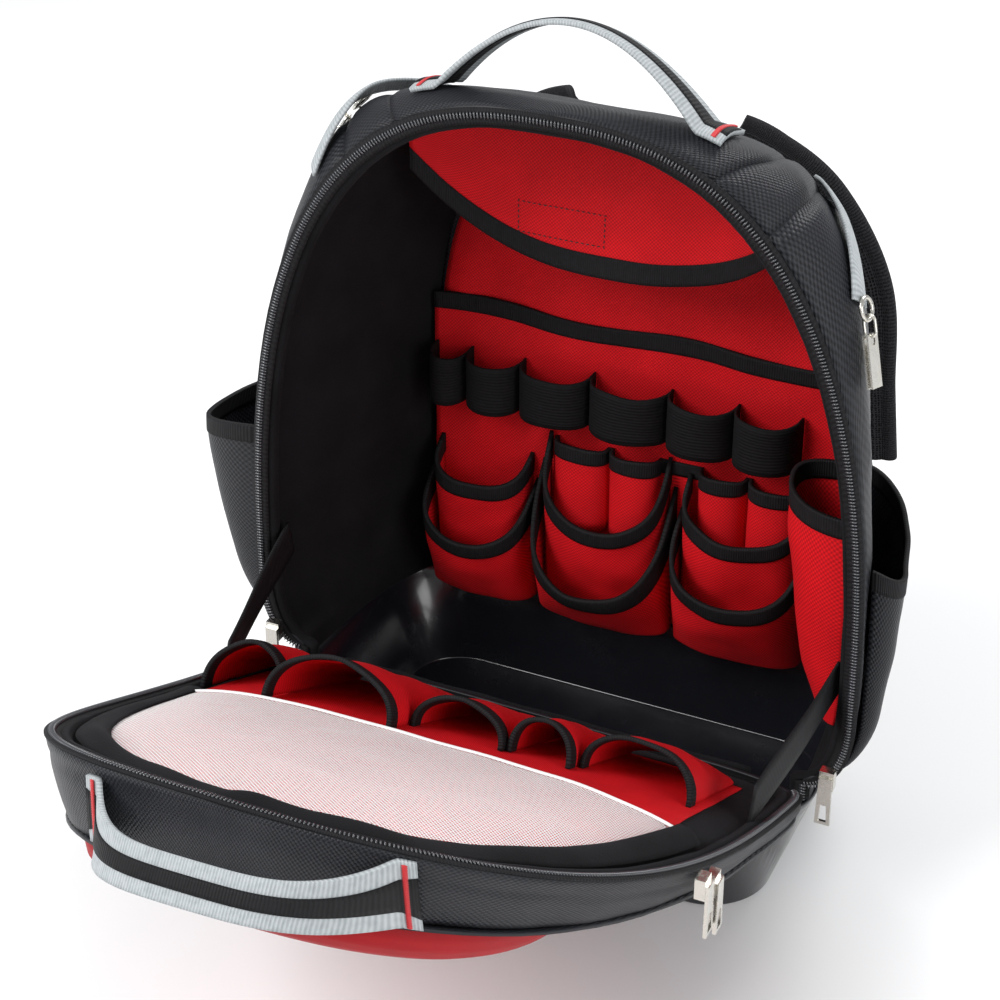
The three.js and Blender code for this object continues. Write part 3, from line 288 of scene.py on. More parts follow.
def woven_finish(name, thread, shade, pitch, roughness, lift, sheen):
    """Plain-woven cloth: threads that cross every pitch millimetres, with a painted highlight where they
    rise and painted shade in the gaps between them.
    """
    material = new_finish(name)
    uv = add_node(material, "ShaderNodeUVMap", {"uv_map": "cloth"})
    scaled = add_node(material, "ShaderNodeMapping", {"Scale": (math.pi / pitch,) * 3}, {
        "Vector": uv.outputs[0]})
    split = add_node(material, "ShaderNodeSeparateXYZ", None, {"Vector": scaled.outputs[0]})
    warp = add_node(material, "ShaderNodeMath", {"operation": "SINE"}, {0: split.outputs["X"]})
    weft = add_node(material, "ShaderNodeMath", {"operation": "SINE"}, {0: split.outputs["Y"]})
    cross = add_node(material, "ShaderNodeMath", {"operation": "MULTIPLY"}, {
        0: warp.outputs[0], 1: weft.outputs[0]})
    rise = add_node(material, "ShaderNodeMapRange", {"From Min": -1.0, "From Max": 1.0}, {
        "Value": cross.outputs[0]})
    wear = add_node(material, "ShaderNodeTexNoise", {"Scale": 0.035, "Detail": 4.0}, {
        "Vector": uv.outputs[0]})
    # Painted light: risen threads take the lighter colour as a painted highlight, the gaps the darker one as
    # painted shade; the wear noise adds real, uneven tone.
    level = add_node(material, "ShaderNodeMath", {"operation": "MULTIPLY_ADD", 1: 0.85, 2: -0.1}, {
        0: rise.outputs[0]})
    wear_and_painted_light = add_node(material, "ShaderNodeMath", {"operation": "MULTIPLY_ADD", 1: 0.4}, {
        0: wear.outputs[0], 2: level.outputs[0]})
    colour = add_node(material, "ShaderNodeMix", {"data_type": "RGBA", 6: tone(shade), 7: tone(thread)}, {
        0: wear_and_painted_light.outputs[0]})
    relief = add_node(material, "ShaderNodeBump", {"Strength": 0.6, "Distance": lift * MM}, {
        "Height": rise.outputs[0]})
    surface = add_node(material, "ShaderNodeBsdfPrincipled", {
        "Roughness": roughness, "Specular IOR Level": 0.22, "Sheen Weight": sheen, "Sheen Roughness": 0.4,
        "Sheen Tint": tone(thread)}, {"Base Color": colour.outputs[2], "Normal": relief.outputs[0]})
    return close_finish(material, surface)


# 1680 denier ballistic nylon: a coarse basket weave of glossy threads, drawn 1.4 mm apart.
# Its lighter thread colour is a painted highlight, its near-black gap colour painted shade between the
# threads.
ballistic = woven_finish("ballistic nylon weave", "#303136", "#010102", 1.4, 0.44, 0.6, 0.0)

# Brushed tricot: black, matt and slightly fuzzy, with no thread that the eye can find.
brushed = new_finish("brushed tricot lining")
place = add_node(brushed, "ShaderNodeTexCoord")
fuzz = add_node(brushed, "ShaderNodeTexNoise", {"Scale": 900.0, "Detail": 3.0}, {
    "Vector": place.outputs["Object"]})
patch = add_node(brushed, "ShaderNodeTexNoise", {"Scale": 30.0, "Detail": 3.0}, {
    "Vector": place.outputs["Object"]})
colour = add_node(brushed, "ShaderNodeMix", {"data_type": "RGBA", 6: tone("#0a0a0b"), 7: tone("#1d1d1f")}, {
    0: patch.outputs[0]})
relief = add_node(brushed, "ShaderNodeBump", {"Strength": 0.7, "Distance": 0.0006}, {
    "Height": fuzz.outputs[0]})
close_finish(brushed, add_node(brushed, "ShaderNodeBsdfPrincipled", {
    "Roughness": 0.95, "Specular IOR Level": 0.15, "Sheen Weight": 0.12, "Sheen Roughness": 0.5,
    "Sheen Tint": tone("#5a5a60")}, {
    "Base Color": colour.outputs[2], "Normal": relief.outputs[0]}))

GUSSET_PANELS = [
    ("gusset_panel_right", "gusset_side_right", -1, 0.582, 56),
    ("gusset_shoulder_right", "gusset_corner_right", 0.582, 0.678, 10),
    ("gusset_crown", "gusset_top", 0.678, 1.322, 40),
    ("gusset_shoulder_left", "gusset_corner_left", 1.322, 1.418, 10),
    ("gusset_panel_left", "gusset_side_left", 1.418, 3, 56),
]
for name, node, start, end, steps in GUSSET_PANELS:
    def gusset_skin(u, v, start=start, end=end):
        way = mix(end, start, u)
        y = MOUTH_Y + BODY_DEPTH * v
        p = arch_point(y, way)
        beside = min(way - start if start > -1 else 9, end - way if end < 3 else 9) * 260
        seam = 1.6 * math.exp(-(beside / 3.5) ** 2) + 0.8 * math.exp(-((y - MOUTH_Y - 14) / 2.5) ** 2)
        out = -seam + 0.6 * math.sin(math.pi * u) + rumple(p, 46, 1.5) + rumple(p, 17, 0.5)
        return arch_point(y, way, out - 0.8)
    panel = cloth(name, steps, 26, gusset_skin, BODY_WALL - 1.5, [ballistic, brushed],
                  offset=-1.0)
    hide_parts(node)


# Back: a cloth wall with a foam board, seamed to the gusset all round under a piped edge. On its
# inside lies a padded lining of red cloth, which the organizer is sewn to.
BACK_WALL, LINING_PAD = 5.5, 9.0
LINING_Y = BACK_Y - 0.3 - LINING_PAD


def back_skin(u, v):
    x = mix(-1, 1, u)
    top = skin_z(0, BACK_Y)
    z = mix(TRAY_HEIGHT + 0.3, top, v)
    half = skin_x(BACK_Y, min(z, top - 0.01)) if v < 1 else 0.0
    p = Vector((x * half, BACK_Y + 0.3 + BACK_WALL, z))
    edge = min(1.0, (1 - abs(x)) * half / 16) if half else 0.0
    p.y -= 2.2 * (1 - edge) ** 2 - rumple(p, 60, 1.0) * edge
    return p


# The red weave's lighter thread colour is a painted highlight, its darker colour painted shade between the
# threads.
red_shade, red_thread = "#a00a14", "#f2151f"
# 600 denier polyester, dyed red: a fine plain weave, drawn 1.2 mm apart, with a slight sheen.
red_cloth = woven_finish("red polyester weave", red_thread, red_shade, 1.2, 0.72, 0.25, 0.0)

wall = cloth("back_outside", 36, 40, back_skin, BACK_WALL - 0.5, [ballistic], offset=1.0)
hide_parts("back_wall")


def lining_skin(u, v):
    x = mix(-1, 1, u)
    top = skin_z(0, BACK_Y, -BODY_WALL - 1.8)
    z = mix(TRAY_HEIGHT + 1, top, v)
    half = skin_x(BACK_Y, min(z, top - 0.01), -BODY_WALL - 1.8) if v < 1 else 0.0
    p = Vector((x * half, LINING_Y, z))
    edge = min(1.0, (1 - abs(x)) * half / 20) if half else 0.0
    fold = 2.0 * math.sin(p.x / 19 + math.sin(z / 40)) * max(0.0, (z - 300) / 160)
    p.y += 4.0 * (1 - edge) ** 2 - (rumple(p, 50, 3.0) + fold) * edge
    return p


lining = cloth("back_lining_cloth", 60, 60, lining_skin, LINING_PAD - 4.0, [red_cloth],
               offset=-1.0)
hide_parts("back_lining")


# Mouth: the gusset's raw edge is bound by a padded welt of brushed lining, just inside the zip.
def roll(name, steps, centre, radius, finish, sides=10):
    """A soft roll along centre(u), which gives a point and the two directions across it."""
    def at(u, v):
        p, side, rise = centre(u)
        angle = v * 2 * math.pi
        return p + (side * math.cos(angle) + rise * math.sin(angle)) * radius
    return cloth(name, steps, sides, at, 0, [finish], closed=True)


def welt_line(u):
    way = mix(-0.99, 2.99, u)
    p = arch_point(MOUTH_Y, way, -9.5)
    inward = (arch_point(MOUTH_Y, way, -10.5) - p).normalized()
    swell = rumple(p, 30, 0.8)
    return p + Vector((0, 4.5, 0)) + inward * swell, inward, Vector((0, -1, 0))


roll("mouth_welt", 150, welt_line, 4.6, brushed)


def piping_line(u):
    """Piping over the seam between the gusset and the back."""
    way = mix(-1, 3, u)
    p = arch_point(BACK_Y, way, -1.6)
    inward = (arch_point(BACK_Y, way, -2.6) - p).normalized()
    return p + Vector((0, 1.6, 0)), inward, Vector((0, 1, 0))


roll("back_piping", 150, piping_line, 2.5, brushed)


# Zip: a coil chain of black nylon on a black tape, one half sewn round the mouth.
ZIP_WIDTH, COIL_PITCH = 10.0, 2.1


def ribbed_finish(name, thread, shade, pitch, roughness, ribs="X"):
    """Tape or webbing with ribs every pitch millimetres, along or across the cloth's map."""
    material = new_finish(name)
    uv = add_node(material, "ShaderNodeUVMap", {"uv_map": "cloth"})
    scaled = add_node(material, "ShaderNodeMapping", {"Scale": (2 * math.pi / pitch,) * 3}, {
        "Vector": uv.outputs[0]})
    split = add_node(material, "ShaderNodeSeparateXYZ", None, {"Vector": scaled.outputs[0]})
    wave = add_node(material, "ShaderNodeMath", {"operation": "SINE"}, {0: split.outputs[ribs]})
    rise = add_node(material, "ShaderNodeMapRange", {"From Min": -1.0, "From Max": 1.0}, {
        "Value": wave.outputs[0]})
    patch = add_node(material, "ShaderNodeTexNoise", {"Scale": 0.25, "Detail": 3.0}, {
        "Vector": uv.outputs[0]})
    share = add_node(material, "ShaderNodeMath", {"operation": "MULTIPLY_ADD", 1: 0.5}, {
        0: rise.outputs[0], 2: patch.outputs[0]})
    colour = add_node(material, "ShaderNodeMix", {"data_type": "RGBA", 6: tone(shade), 7: tone(thread)}, {
        0: share.outputs[0]})
    relief = add_node(material, "ShaderNodeBump", {"Strength": 0.6, "Distance": 0.0004}, {
        "Height": rise.outputs[0]})
    return close_finish(material, add_node(material, "ShaderNodeBsdfPrincipled", {
        "Roughness": roughness, "Specular IOR Level": 0.2}, {
        "Base Color": colour.outputs[2], "Normal": relief.outputs[0]}))


# Zip tape and grosgrain binding: black polyester with fine ribs across.
tape = ribbed_finish("black grosgrain", "#1d1d1f", "#070708", 1.6, 0.7)
# Zip coil: black nylon monofilament, moulded and glossy, coloured dark grey as a painted highlight for the
# teeth's glints.
coil_nylon_painted_glint = new_finish("black nylon coil")
close_finish(coil_nylon_painted_glint, add_node(coil_nylon_painted_glint, "ShaderNodeBsdfPrincipled", {
    "Base Color": tone("#3b3c40"), "Roughness": 0.2, "IOR": 1.6, "Coat Weight": 0.5}))


def spaced(path, pitch):
    """Points every pitch millimetres along a path of points, each with the way it runs."""
    found, carry = [], 0.0
    for a, b in zip(path, path[1:]):
        length = (b - a).length
        way = (b - a).normalized()
        at = carry
        while at < length:
            found.append((a + way * at, way))
            at += pitch
        carry = at - length
    return found


def coil(name, path, rise):
    """The zip's chain: a rounded tooth at each turn of the coil."""
    bm = bmesh.new()
    for p, way in spaced(path, COIL_PITCH):
        up = rise(p)
        side = way.cross(up).normalized()
        frame_of = Matrix((way, side, up)).transposed().to_4x4()
        frame_of.translation = p
        bmesh.ops.create_icosphere(bm, subdivisions=1, radius=1,
                                  matrix=frame_of @ Matrix.Diagonal((0.68, 2.6, 1.3, 1)))
    return put(name, bm, [coil_nylon_painted_glint])


def zip_body_tape(u, v):
    way = mix(-0.97, 2.97, u)
    p = arch_point(MOUTH_Y, way, -mix(0.3, ZIP_WIDTH, v))
    p.y = MOUTH_Y - 0.9 - 1.0 * math.sin(math.pi * v) ** 0.7
    return p


zip_tape_body = cloth("zip_tape_body", 150, 4, zip_body_tape, 1.0, [tape])
body_path = [zip_body_tape(k / 400, 0.42) + Vector((0, -1.0, 0)) for k in range(401)]
coil("zip_coil_body", body_path, lambda p: Vector((0, -1, 0)))
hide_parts("zip_body")


# Front panel: a shallow cloth tray on a curve, let down on its hinge. Its own gusset is of ballistic
# cloth over foam, its outer face carries the pouch, and a taut black lining closes it on the inside.
HINGE_Y, HINGE_Z = -66.0, 96.0
PANEL_TILT, PANEL_LENGTH = math.radians(19.2), 431.0
PANEL_CURVE = math.radians(18.3) / PANEL_LENGTH
PANEL_HALF, PANEL_HIP, PANEL_POWER, FOOT_POWER = 182.7, 57.0, 2.75, 4.84
PANEL_DEPTH, HINGE_DEPTH, PANEL_FLARE, PANEL_LEAN, PANEL_WALL = 39.0, 8.5, 23.0, 0.15, 4.0
LINING_EDGE, LINING_LIFT = 5.0, 21.0


def panel_point(x, run, drop):
    """Point on the panel: across, along its curve from the hinge, and below its rim."""
    angle = PANEL_TILT + PANEL_CURVE * run
    y = HINGE_Y - (math.sin(angle) - math.sin(PANEL_TILT)) / PANEL_CURVE
    z = HINGE_Z + (math.cos(PANEL_TILT) - math.cos(angle)) / PANEL_CURVE
    return Vector((x, y - drop * math.sin(angle), z - drop * math.cos(angle)))


def panel_up(run):
    angle = PANEL_TILT + PANEL_CURVE * run
    return Vector((0, math.sin(angle), math.cos(angle)))


def panel_rim(way, out=0.0):
    """Across and along at the panel's rim: way runs -1 hinge, 0 right, 1 far end, 2 left, 3 hinge."""
    side = 1 if way <= 1 else -1
    climb = way if way <= 1 else 2 - way
    size = abs(climb)
    angle = size ** 1.5 / (size ** 1.5 + (1 - size) ** 1.5) * math.pi / 2
    power = FOOT_POWER if climb < 0 else PANEL_POWER
    across = (PANEL_HALF + out) * (math.cos(angle) if size < 1 else 0.0) ** (2 / power)
    reach = -(PANEL_HIP + out) if climb < 0 else PANEL_LENGTH - PANEL_HIP + out
    return side * across, PANEL_HIP + reach * math.sin(angle) ** (2 / power)


def rim_run(x, out=0.0):
    share = min(1.0, abs(x) / (PANEL_HALF + out))
    return PANEL_HIP + (PANEL_LENGTH - PANEL_HIP + out) * (1 - share ** PANEL_POWER) ** (1 / PANEL_POWER)


def panel_depth(x, run):
    """Depth of the panel: it grows from the hinge on, and sags deeper on the left."""
    t = min(1.0, max(0.0, run / PANEL_LENGTH))
    return mix(HINGE_DEPTH, PANEL_DEPTH * (1 - PANEL_LEAN * x / PANEL_HALF), t)


def flare_at(x, run, drop):
    """How far the panel has drawn in at a drop below its rim."""
    return PANEL_FLARE * run / PANEL_LENGTH * min(1.0, drop / panel_depth(x, run))


def rim_at(way, drop, out=0.0):
    x, run = panel_rim(way)
    return panel_rim(way, out - flare_at(x, run, drop))


def lining_drop(x, run):
    far = rim_run(x, -PANEL_WALL)
    share = min(1.0, max(0.0, run / far))
    side = 1 - min(1.0, abs(x) / (PANEL_HALF - PANEL_WALL)) ** 4
    return LINING_EDGE - LINING_LIFT * math.sin(math.pi * share) ** 0.8 * side


def panel_band(u, v):
    way = mix(-1, 3, u)
    deep = panel_depth(*panel_rim(way))
    end = panel_depth(*rim_at(way, deep))
    p = panel_point(*rim_at(way, deep * v), end * v)
    out = 1.4 * math.sin(math.pi * v) + rumple(p, 40, 1.6) + rumple(p, 15, 0.5)
    out -= 1.2 * math.exp(-((v * deep - 9) / 2.0) ** 2)
    return panel_point(*rim_at(way, deep * v, out - 1.0), end * v)


band = cloth("panel_gusset_cloth", 150, 10, panel_band, PANEL_WALL - 1.6, [ballistic, brushed],
             offset=-1.0, closed=True)
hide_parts("panel_gusset")


def panel_disc(edge, drop):
    """Surface inside an outline on the panel: u runs round it, v from its edge to the middle."""
    middle = PANEL_LENGTH / 2

    def at(u, v):
        x, run = edge(mix(-1, 3, u))
        x, run = x * (1 - v), mix(run, middle, v)
        return panel_point(x, run, drop(x, run))
    return at


def face_drop(x, run):
    p = panel_point(x, run, 0)
    return panel_depth(x, run) + 2.4 + rumple(p, 50, 1.2)


def face_edge(way):
    return rim_at(way, panel_depth(*panel_rim(way)), -0.5)


face = cloth("panel_outside", 120, 24, panel_disc(face_edge, face_drop), 2.0, [ballistic],
             closed=True)
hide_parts("panel_face")


def lining_surface(x, run):
    p = panel_point(x, run, 0)
    edge = min(1.0, max(0.0, (rim_run(x, -PANEL_WALL) - run) / 30)) * min(1.0, (PANEL_HALF - abs(x)) / 30)
    return lining_drop(x, run) + 1.0 - rumple(p, 34, 1.2) * edge


def lining_outline(way):
    return rim_at(way, LINING_EDGE + 2.0, -PANEL_WALL - 0.3)


inside = cloth("panel_lining_cloth", 120, 30, panel_disc(lining_outline, lining_surface), 1.4, [brushed],
               closed=True)
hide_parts("panel_lining")


def panel_welt_line(u):
    way = mix(-0.35, 2.35, u)
    x, run = panel_rim(way, -11.0)
    p = panel_point(x, run, 1.0 + rumple((x, run, 0), 30, 0.8))
    x2, run2 = panel_rim(way, -12.0)
    return p, (panel_point(x2, run2, 1.0) - panel_point(x, run, 1.0)).normalized(), panel_up(run)


roll("panel_welt", 140, panel_welt_line, 4.4, brushed)


def zip_panel_tape(u, v):
    way = mix(-0.3, 2.3, u)
    x, run = panel_rim(way, -mix(0.3, ZIP_WIDTH, v))
    return panel_point(x, run, -0.9 - 1.0 * math.sin(math.pi * v) ** 0.7)


zip_tape_panel = cloth("zip_tape_panel", 150, 4, zip_panel_tape, 1.0, [tape])
panel_path = [zip_panel_tape(k / 400, 0.42) + Vector((0, 0, 1.0)) for k in range(401)]
coil("zip_coil_panel", panel_path, lambda p: Vector((0, 0.45, 0.9)).normalized())
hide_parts("zip_panel")

# Pouch: a dome moulded from red cloth over foam, standing on the outside of the panel, with a
# piped seam round its crown.
POUCH_HALF, POUCH_START, POUCH_FAR, POUCH_DEPTH, POUCH_POWER = 121.0, 70.0, 391.0, 19.5, 3.0
POUCH_MIDDLE, POUCH_REACH = (POUCH_FAR + POUCH_START) / 2, (POUCH_FAR - POUCH_START) / 2
# Section from its edge to its crown: shares of its width and depth
POUCH_SECTION = [(1.0, 0.0), (0.998, 0.28), (0.982, 0.54), (0.95, 0.75), (0.90, 0.89), (0.82, 0.97),
                 (0.6, 1.0), (0.3, 1.0), (0.0, 1.0)]


def pouch_skin(u, v):
    angle = u * 2 * math.pi
    c, s = math.cos(angle), math.sin(angle)
    power = 2 / POUCH_POWER
    k = min(7, int(v * 8))
    (a, low), (b, high) = POUCH_SECTION[k], POUCH_SECTION[k + 1]
    share, depth = mix(a, b, v * 8 - k), mix(low, high, v * 8 - k)
    x = POUCH_HALF * math.copysign(abs(c) ** power, c) * share
    run = POUCH_MIDDLE + POUCH_REACH * math.copysign(abs(s) ** power, s) * share
    p = panel_point(x, run, 0)
    drop = panel_depth(x, run) + 4.2 + POUCH_DEPTH * depth + rumple(p, 60, 1.2) * depth
    return panel_point(x, run, drop)


# The same cloth pressed over foam, its threads flattened so it looks smoother; its darker colours paint the
# shade under the panel.
pouch_shaded_red = woven_finish("red polyester with painted shade", "#b50f19", "#6a070d", 1.2, 0.6, 0.12, 0.0)
pouch = cloth("pouch_cloth", 120, 32, pouch_skin, 2.4, [pouch_shaded_red], offset=1.0, closed=True)
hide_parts("panel_pouch")


# Hinge: brushed cloth sewn over the tray's front edge and up to the panel.
def hinge_skin(u, v):
    x = mix(-139, 139, u)
    row = [(-91, 83.2), (-78, 84.4), (-66, 84.6), (-63.5, 88), (-63.2, 95.4)]
    k = min(3, int(v * 4))
    (y0, z0), (y1, z1) = row[k], row[k + 1]
    t = v * 4 - k
    return Vector((x, mix(y0, y1, t), mix(z0, z1, t) + 0.4 * math.sin(x / 9)))


hinge = cloth("hinge_fold", 60, 12, hinge_skin, 1.8, [brushed])
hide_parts("hinge_cloth")


# Tunnel pockets: five arches of red cloth in a row on the panel's lining, sewn down between them,
# each with its mouth bound in black grosgrain.
TUNNEL_HEIGHT, TUNNEL_END, NET_INSET, FACING_RIGHT, CLOTH_GAP = 30.0, 0.085, 27.0, 146.0, 0.6
TUNNELS = [
    ("tunnel_pocket_1", -0.905, -0.625, 0.320, 0.90),
    ("tunnel_pocket_2", -0.600, -0.160, 0.390, 1.00),
    ("tunnel_pocket_3", -0.140, 0.165, 0.330, 0.73),
    ("tunnel_pocket_4", 0.185, 0.385, 0.320, 0.80),
    ("tunnel_pocket_5", 0.405, 0.765, 0.290, 0.87),
]


def lining_backing(u, v):
    x = mix(NET_INSET - 3 - PANEL_HALF, FACING_RIGHT, u)
    run = mix(TUNNEL_END * PANEL_LENGTH, rim_run(x, 3 - NET_INSET), v)
    return panel_point(x, run, lining_surface(x, run) - 1.3)


# The middle of the lining is faced with red cloth, which the pockets are sewn to
cloth("panel_lining_facing", 60, 50, lining_backing, 0.6, [red_cloth])


def bound_edge(name, across, surface, share, thickness, reach=0.0):
    """Binding folded over the edge of a surface where v is nought: share is how far it comes down."""
    def at(u, v):
        return surface(u, mix(-reach, share, v))
    return cloth(name, across, 6, at, thickness, [tape])


for node, left, right, mouth, height in TUNNELS:
    def tunnel_skin(u, v, left=left, right=right, mouth=mouth, height=height):
        angle = math.pi * min(1.0, max(0.0, u))
        x = mix(left, right, (1 - math.cos(angle)) / 2) * PANEL_HALF
        run = mix(mouth, TUNNEL_END, v) * PANEL_LENGTH
        sag = 1 - 0.8 * v + 0.10 * math.sin(math.pi * min(1, max(0, v)))
        rise = height * TUNNEL_HEIGHT * sag * math.sin(angle) ** 0.8
        p = panel_point(x, run, 0)
        drop = lining_drop(x, run) - CLOTH_GAP - 0.45 - rise - rumple(p, 26, 2.6) * math.sin(angle)
        return panel_point(x, run, drop)
    tunnel = cloth(node + "_cloth", 60, 40, tunnel_skin, 1.4, [red_cloth])
    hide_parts(node)
    length = (mouth - TUNNEL_END) * PANEL_LENGTH
    bound_edge(node + "_binding", 60, tunnel_skin, 9.0 / length, 2.8, 1.0 / length)


# Net pocket: white knitted nylon net, its near edge bound in black, on the far half of the lining.
NET_START, NET_CELL, NET_THREAD, NET_STEP = 178.0, 2.8, 0.61, 5.0
net_nylon = new_finish("white nylon net")
close_finish(net_nylon, add_node(net_nylon, "ShaderNodeBsdfPrincipled", {
    "Base Color": tone("#f6f4f4"), "Roughness": 0.5, "Sheen Weight": 0.2}))


def net_far(x):
    return rim_run(x, -NET_INSET)


def net_place(x, run, lift=0.0):
    p = panel_point(x, run, 0)
    return panel_point(x, run, lining_drop(x, run) - 2.2 - lift - 1.2 * max(0.0, rumple(p, 45, 1.0)))


def net_threads():
    """Flat ribbons of thread in two slanting sets, which cross at the knots."""
    bm = bmesh.new()
    half = PANEL_HALF - NET_INSET

    def ribbon(points):
        rows = []
        for k, (x, run) in enumerate(points):
            ahead = points[min(k + 1, len(points) - 1)]
            behind = points[max(k - 1, 0)]
            way = Vector((ahead[0] - behind[0], ahead[1] - behind[1])).normalized()
            side = Vector((-way.y, way.x)) * NET_THREAD / 2
            rows.append([bm.verts.new(net_place(x + side.x * s, run + side.y * s)) for s in (-1, 1)])
        for a, b in zip(rows, rows[1:]):
            bm.faces.new((a[0], b[0], b[1], a[1]))

    for slant in (-1, 1):
        count = int(half / NET_CELL) + 110
        for i in range(-count, count):
            points = []
            for k in range(60):
                run = NET_START + k * NET_STEP
                x = i * NET_CELL + slant * (run - NET_START)
                if abs(x) < half and run < net_far(x):
                    points.append((x, run))
                elif len(points) > 2:
                    break
            if len(points) > 2:
                ribbon(points)
    return bm


net_mesh = net_threads()
net = put("net", net_mesh, [net_nylon])
net.modifiers.new("thickness", "SOLIDIFY").thickness = 0.12 * MM
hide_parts("mesh_pocket")


def net_binding(u, v):
    x = mix(-1, 1, u) * (PANEL_HALF - NET_INSET)
    run = NET_START - 1 + 3.5 * v + 1.2 * math.sin(u * 17)
    return net_place(x, run, 0.5 + 0.8 * math.sin(math.pi * v))


cloth("net_edge", 60, 6, net_binding, 0.8, [net_nylon])


def net_hem(u, v):
    x, run = panel_rim(mix(1 - 0.77, 1 + 0.77, u), -NET_INSET + mix(-5, 11, v))
    slack = 3.0 + 1.6 * math.sin(u * 19) + 0.9 * math.sin(u * 43)
    return net_place(x, run, 0.4 + slack * math.sin(math.pi * v) ** 0.8)


cloth("net_hem", 160, 10, net_hem, 1.4, [brushed])


# Organizer: red cloth pockets on a backing sheet, sewn to the back's lining. All their top edges
# are bound in black grosgrain. A row of red loops and a row of elastic loops stand above them.
SHEET_Y, SHEET_TOP, SHEET_BOTTOM, SHEET_HALF = LINING_Y - 0.3 - 0.8, 296.0, 92.0, 140.0
SHAFT_Y, SHAFT_DEEP, SHAFT_BOTTOM, SHAFT_TOP = SHEET_Y - 1.9, 13.0, 150.0, 210.0
ELASTIC_Y, ELASTIC_DEEP, ELASTIC_MIDDLE, ELASTIC_HEIGHT = SHEET_Y - 2.0, 24.0, 246.0, 34.0
SHAFT_LOOPS = [(-0.36, -0.10), (-0.08, 0.16), (0.36, 0.58), (0.60, 0.84)]
ELASTIC_LOOPS = [(-0.98, -0.80), (-0.80, -0.53), (-0.53, -0.18), (-0.18, 0.20), (0.20, 0.52), (0.52, 0.82)]


def sheet_skin(u, v):
    x, z = mix(-SHEET_HALF, SHEET_HALF, u), mix(SHEET_TOP, SHEET_BOTTOM, v)
    p = Vector((x, SHEET_Y, z))
    p.y -= rumple(p, 30, 1.6)
    p.z += 2.5 * math.sin(x / 22) * (1 - v) ** 3
    return p


backing = cloth("organizer_sheet", 70, 50, sheet_skin, 1.4, [red_cloth])
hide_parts("pocket_sheet")
bound_edge("organizer_binding", 80, sheet_skin, 10 / 204, 2.8, 0.008)


def loop_line(loops, y, deep, steps):
    """The way a band runs across: out round each loop and back to the cloth between them."""
    line = []
    for left, right in loops:
        for i in range(steps + 1):
            angle = math.pi * i / steps
            x = SHEET_HALF * mix(left, right, (1 - math.cos(angle)) / 2)
            line.append((x, y - deep * math.sin(angle) ** 0.7))
    return line


def band_skin(line, low, high, sway):
    def at(u, v):
        at_line = u * (len(line) - 1)
        k = min(len(line) - 2, int(at_line))
        (x0, y0), (x1, y1) = line[k], line[k + 1]
        x, y = mix(x0, x1, at_line - k), mix(y0, y1, at_line - k)
        z = mix(high, low, v)
        shift = rumple((x, y, z), 24, sway)
        return Vector((x, y + shift * 0.5, z + shift))
    return at


shaft_skin = band_skin(loop_line(SHAFT_LOOPS, SHAFT_Y, SHAFT_DEEP, 14), SHAFT_BOTTOM, SHAFT_TOP, 1.4)
shafts = cloth("shaft_loops", 59, 10, shaft_skin, 1.4, [red_cloth])
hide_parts("shaft_pockets")
bound_edge("shaft_binding", 59, shaft_skin, 9 / 60, 2.6, 0.02)

# Elastic: black knitted band with a line of ribs along it.
elastic_knit = ribbed_finish("black knitted elastic", "#151517", "#060607", 2.2, 0.8, "Y")
elastic_skin = band_skin(loop_line(ELASTIC_LOOPS, ELASTIC_Y, ELASTIC_DEEP, 14),
                         ELASTIC_MIDDLE - ELASTIC_HEIGHT / 2, ELASTIC_MIDDLE + ELASTIC_HEIGHT / 2, 1.2)
elastics = cloth("elastic_band", 89, 8, elastic_skin, 1.6, [elastic_knit])
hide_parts("elastic_loops")

POCKET_BOTTOM, UPPER_DEEP, LOWER_DEEP = 84.0, 30.0, 47.0
POCKET_FOOT, NESTED_FOOT, NESTED_LIFT = 20.0, 9.0, 10.0
NEST = (1.6 + CLOTH_GAP) * 2
COLUMNS = [
    ("left", SHEET_Y - 1.4, -0.99, -0.46, (0.51, 0.43), (0.42, 0.26)),
    ("middle", SHAFT_Y - 1.4, -0.42, 0.24, (0.61, 0.37), (0.50, 0.17)),
    ("right", SHAFT_Y - 1.4, 0.28, 0.90, (0.57, 0.44), (0.44, 0.26)),
]


def box_pocket(node, back, left, right, edges, deep, foot, bottom):
    wall_top, front_top = (mix(POCKET_BOTTOM, SHEET_TOP, share) for share in edges)

    def at(u, v):
        angle = math.pi * min(1.0, max(0.0, u))
        x = mix(left, right, (1 - math.cos(angle)) / 2)
        out = math.sin(angle) ** 0.55
        level = min(1.0, max(0.0, v))
        depth = mix(deep, foot, level ** 1.5) * out
        z = mix(mix(wall_top, front_top, out), bottom, v)
        p = Vector((x, back - depth, z))
        p.y -= rumple(p, 28, 3.0) * out
        p.z += rumple(p, 40, 1.5) * (1 - level)
        return p
    pocket = cloth(node + "_cloth", 60, 44, at, 1.4, [red_cloth])
    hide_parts(node)
    drop = front_top - bottom
    bound_edge(node + "_binding", 60, at, 10.0 / drop, 2.8, 1.0 / drop)


for column, back, left, right, upper, lower in COLUMNS:
    box_pocket("upper_pocket_" + column, back, left * SHEET_HALF + NEST, right * SHEET_HALF - NEST, upper,
               UPPER_DEEP, NESTED_FOOT, POCKET_BOTTOM + NESTED_LIFT)
    box_pocket("lower_pocket_" + column, back, left * SHEET_HALF, right * SHEET_HALF, lower,
               LOWER_DEEP, POCKET_FOOT, POCKET_BOTTOM)

# Flap: a sheet of red cloth sewn to the roof, hanging free over the tools' heads, its edge bound.
FLAP_HALF, FLAP_BOTTOM, FLAP_CORNER, FLAP_Y, FLAP_BELLY = 124.0, 358.0, 54.0, 36.0, 8.0
FLAP_BOX = [(-58, 377), (-2, 377), (-2, 397), (-58, 397), (-58, 377)]


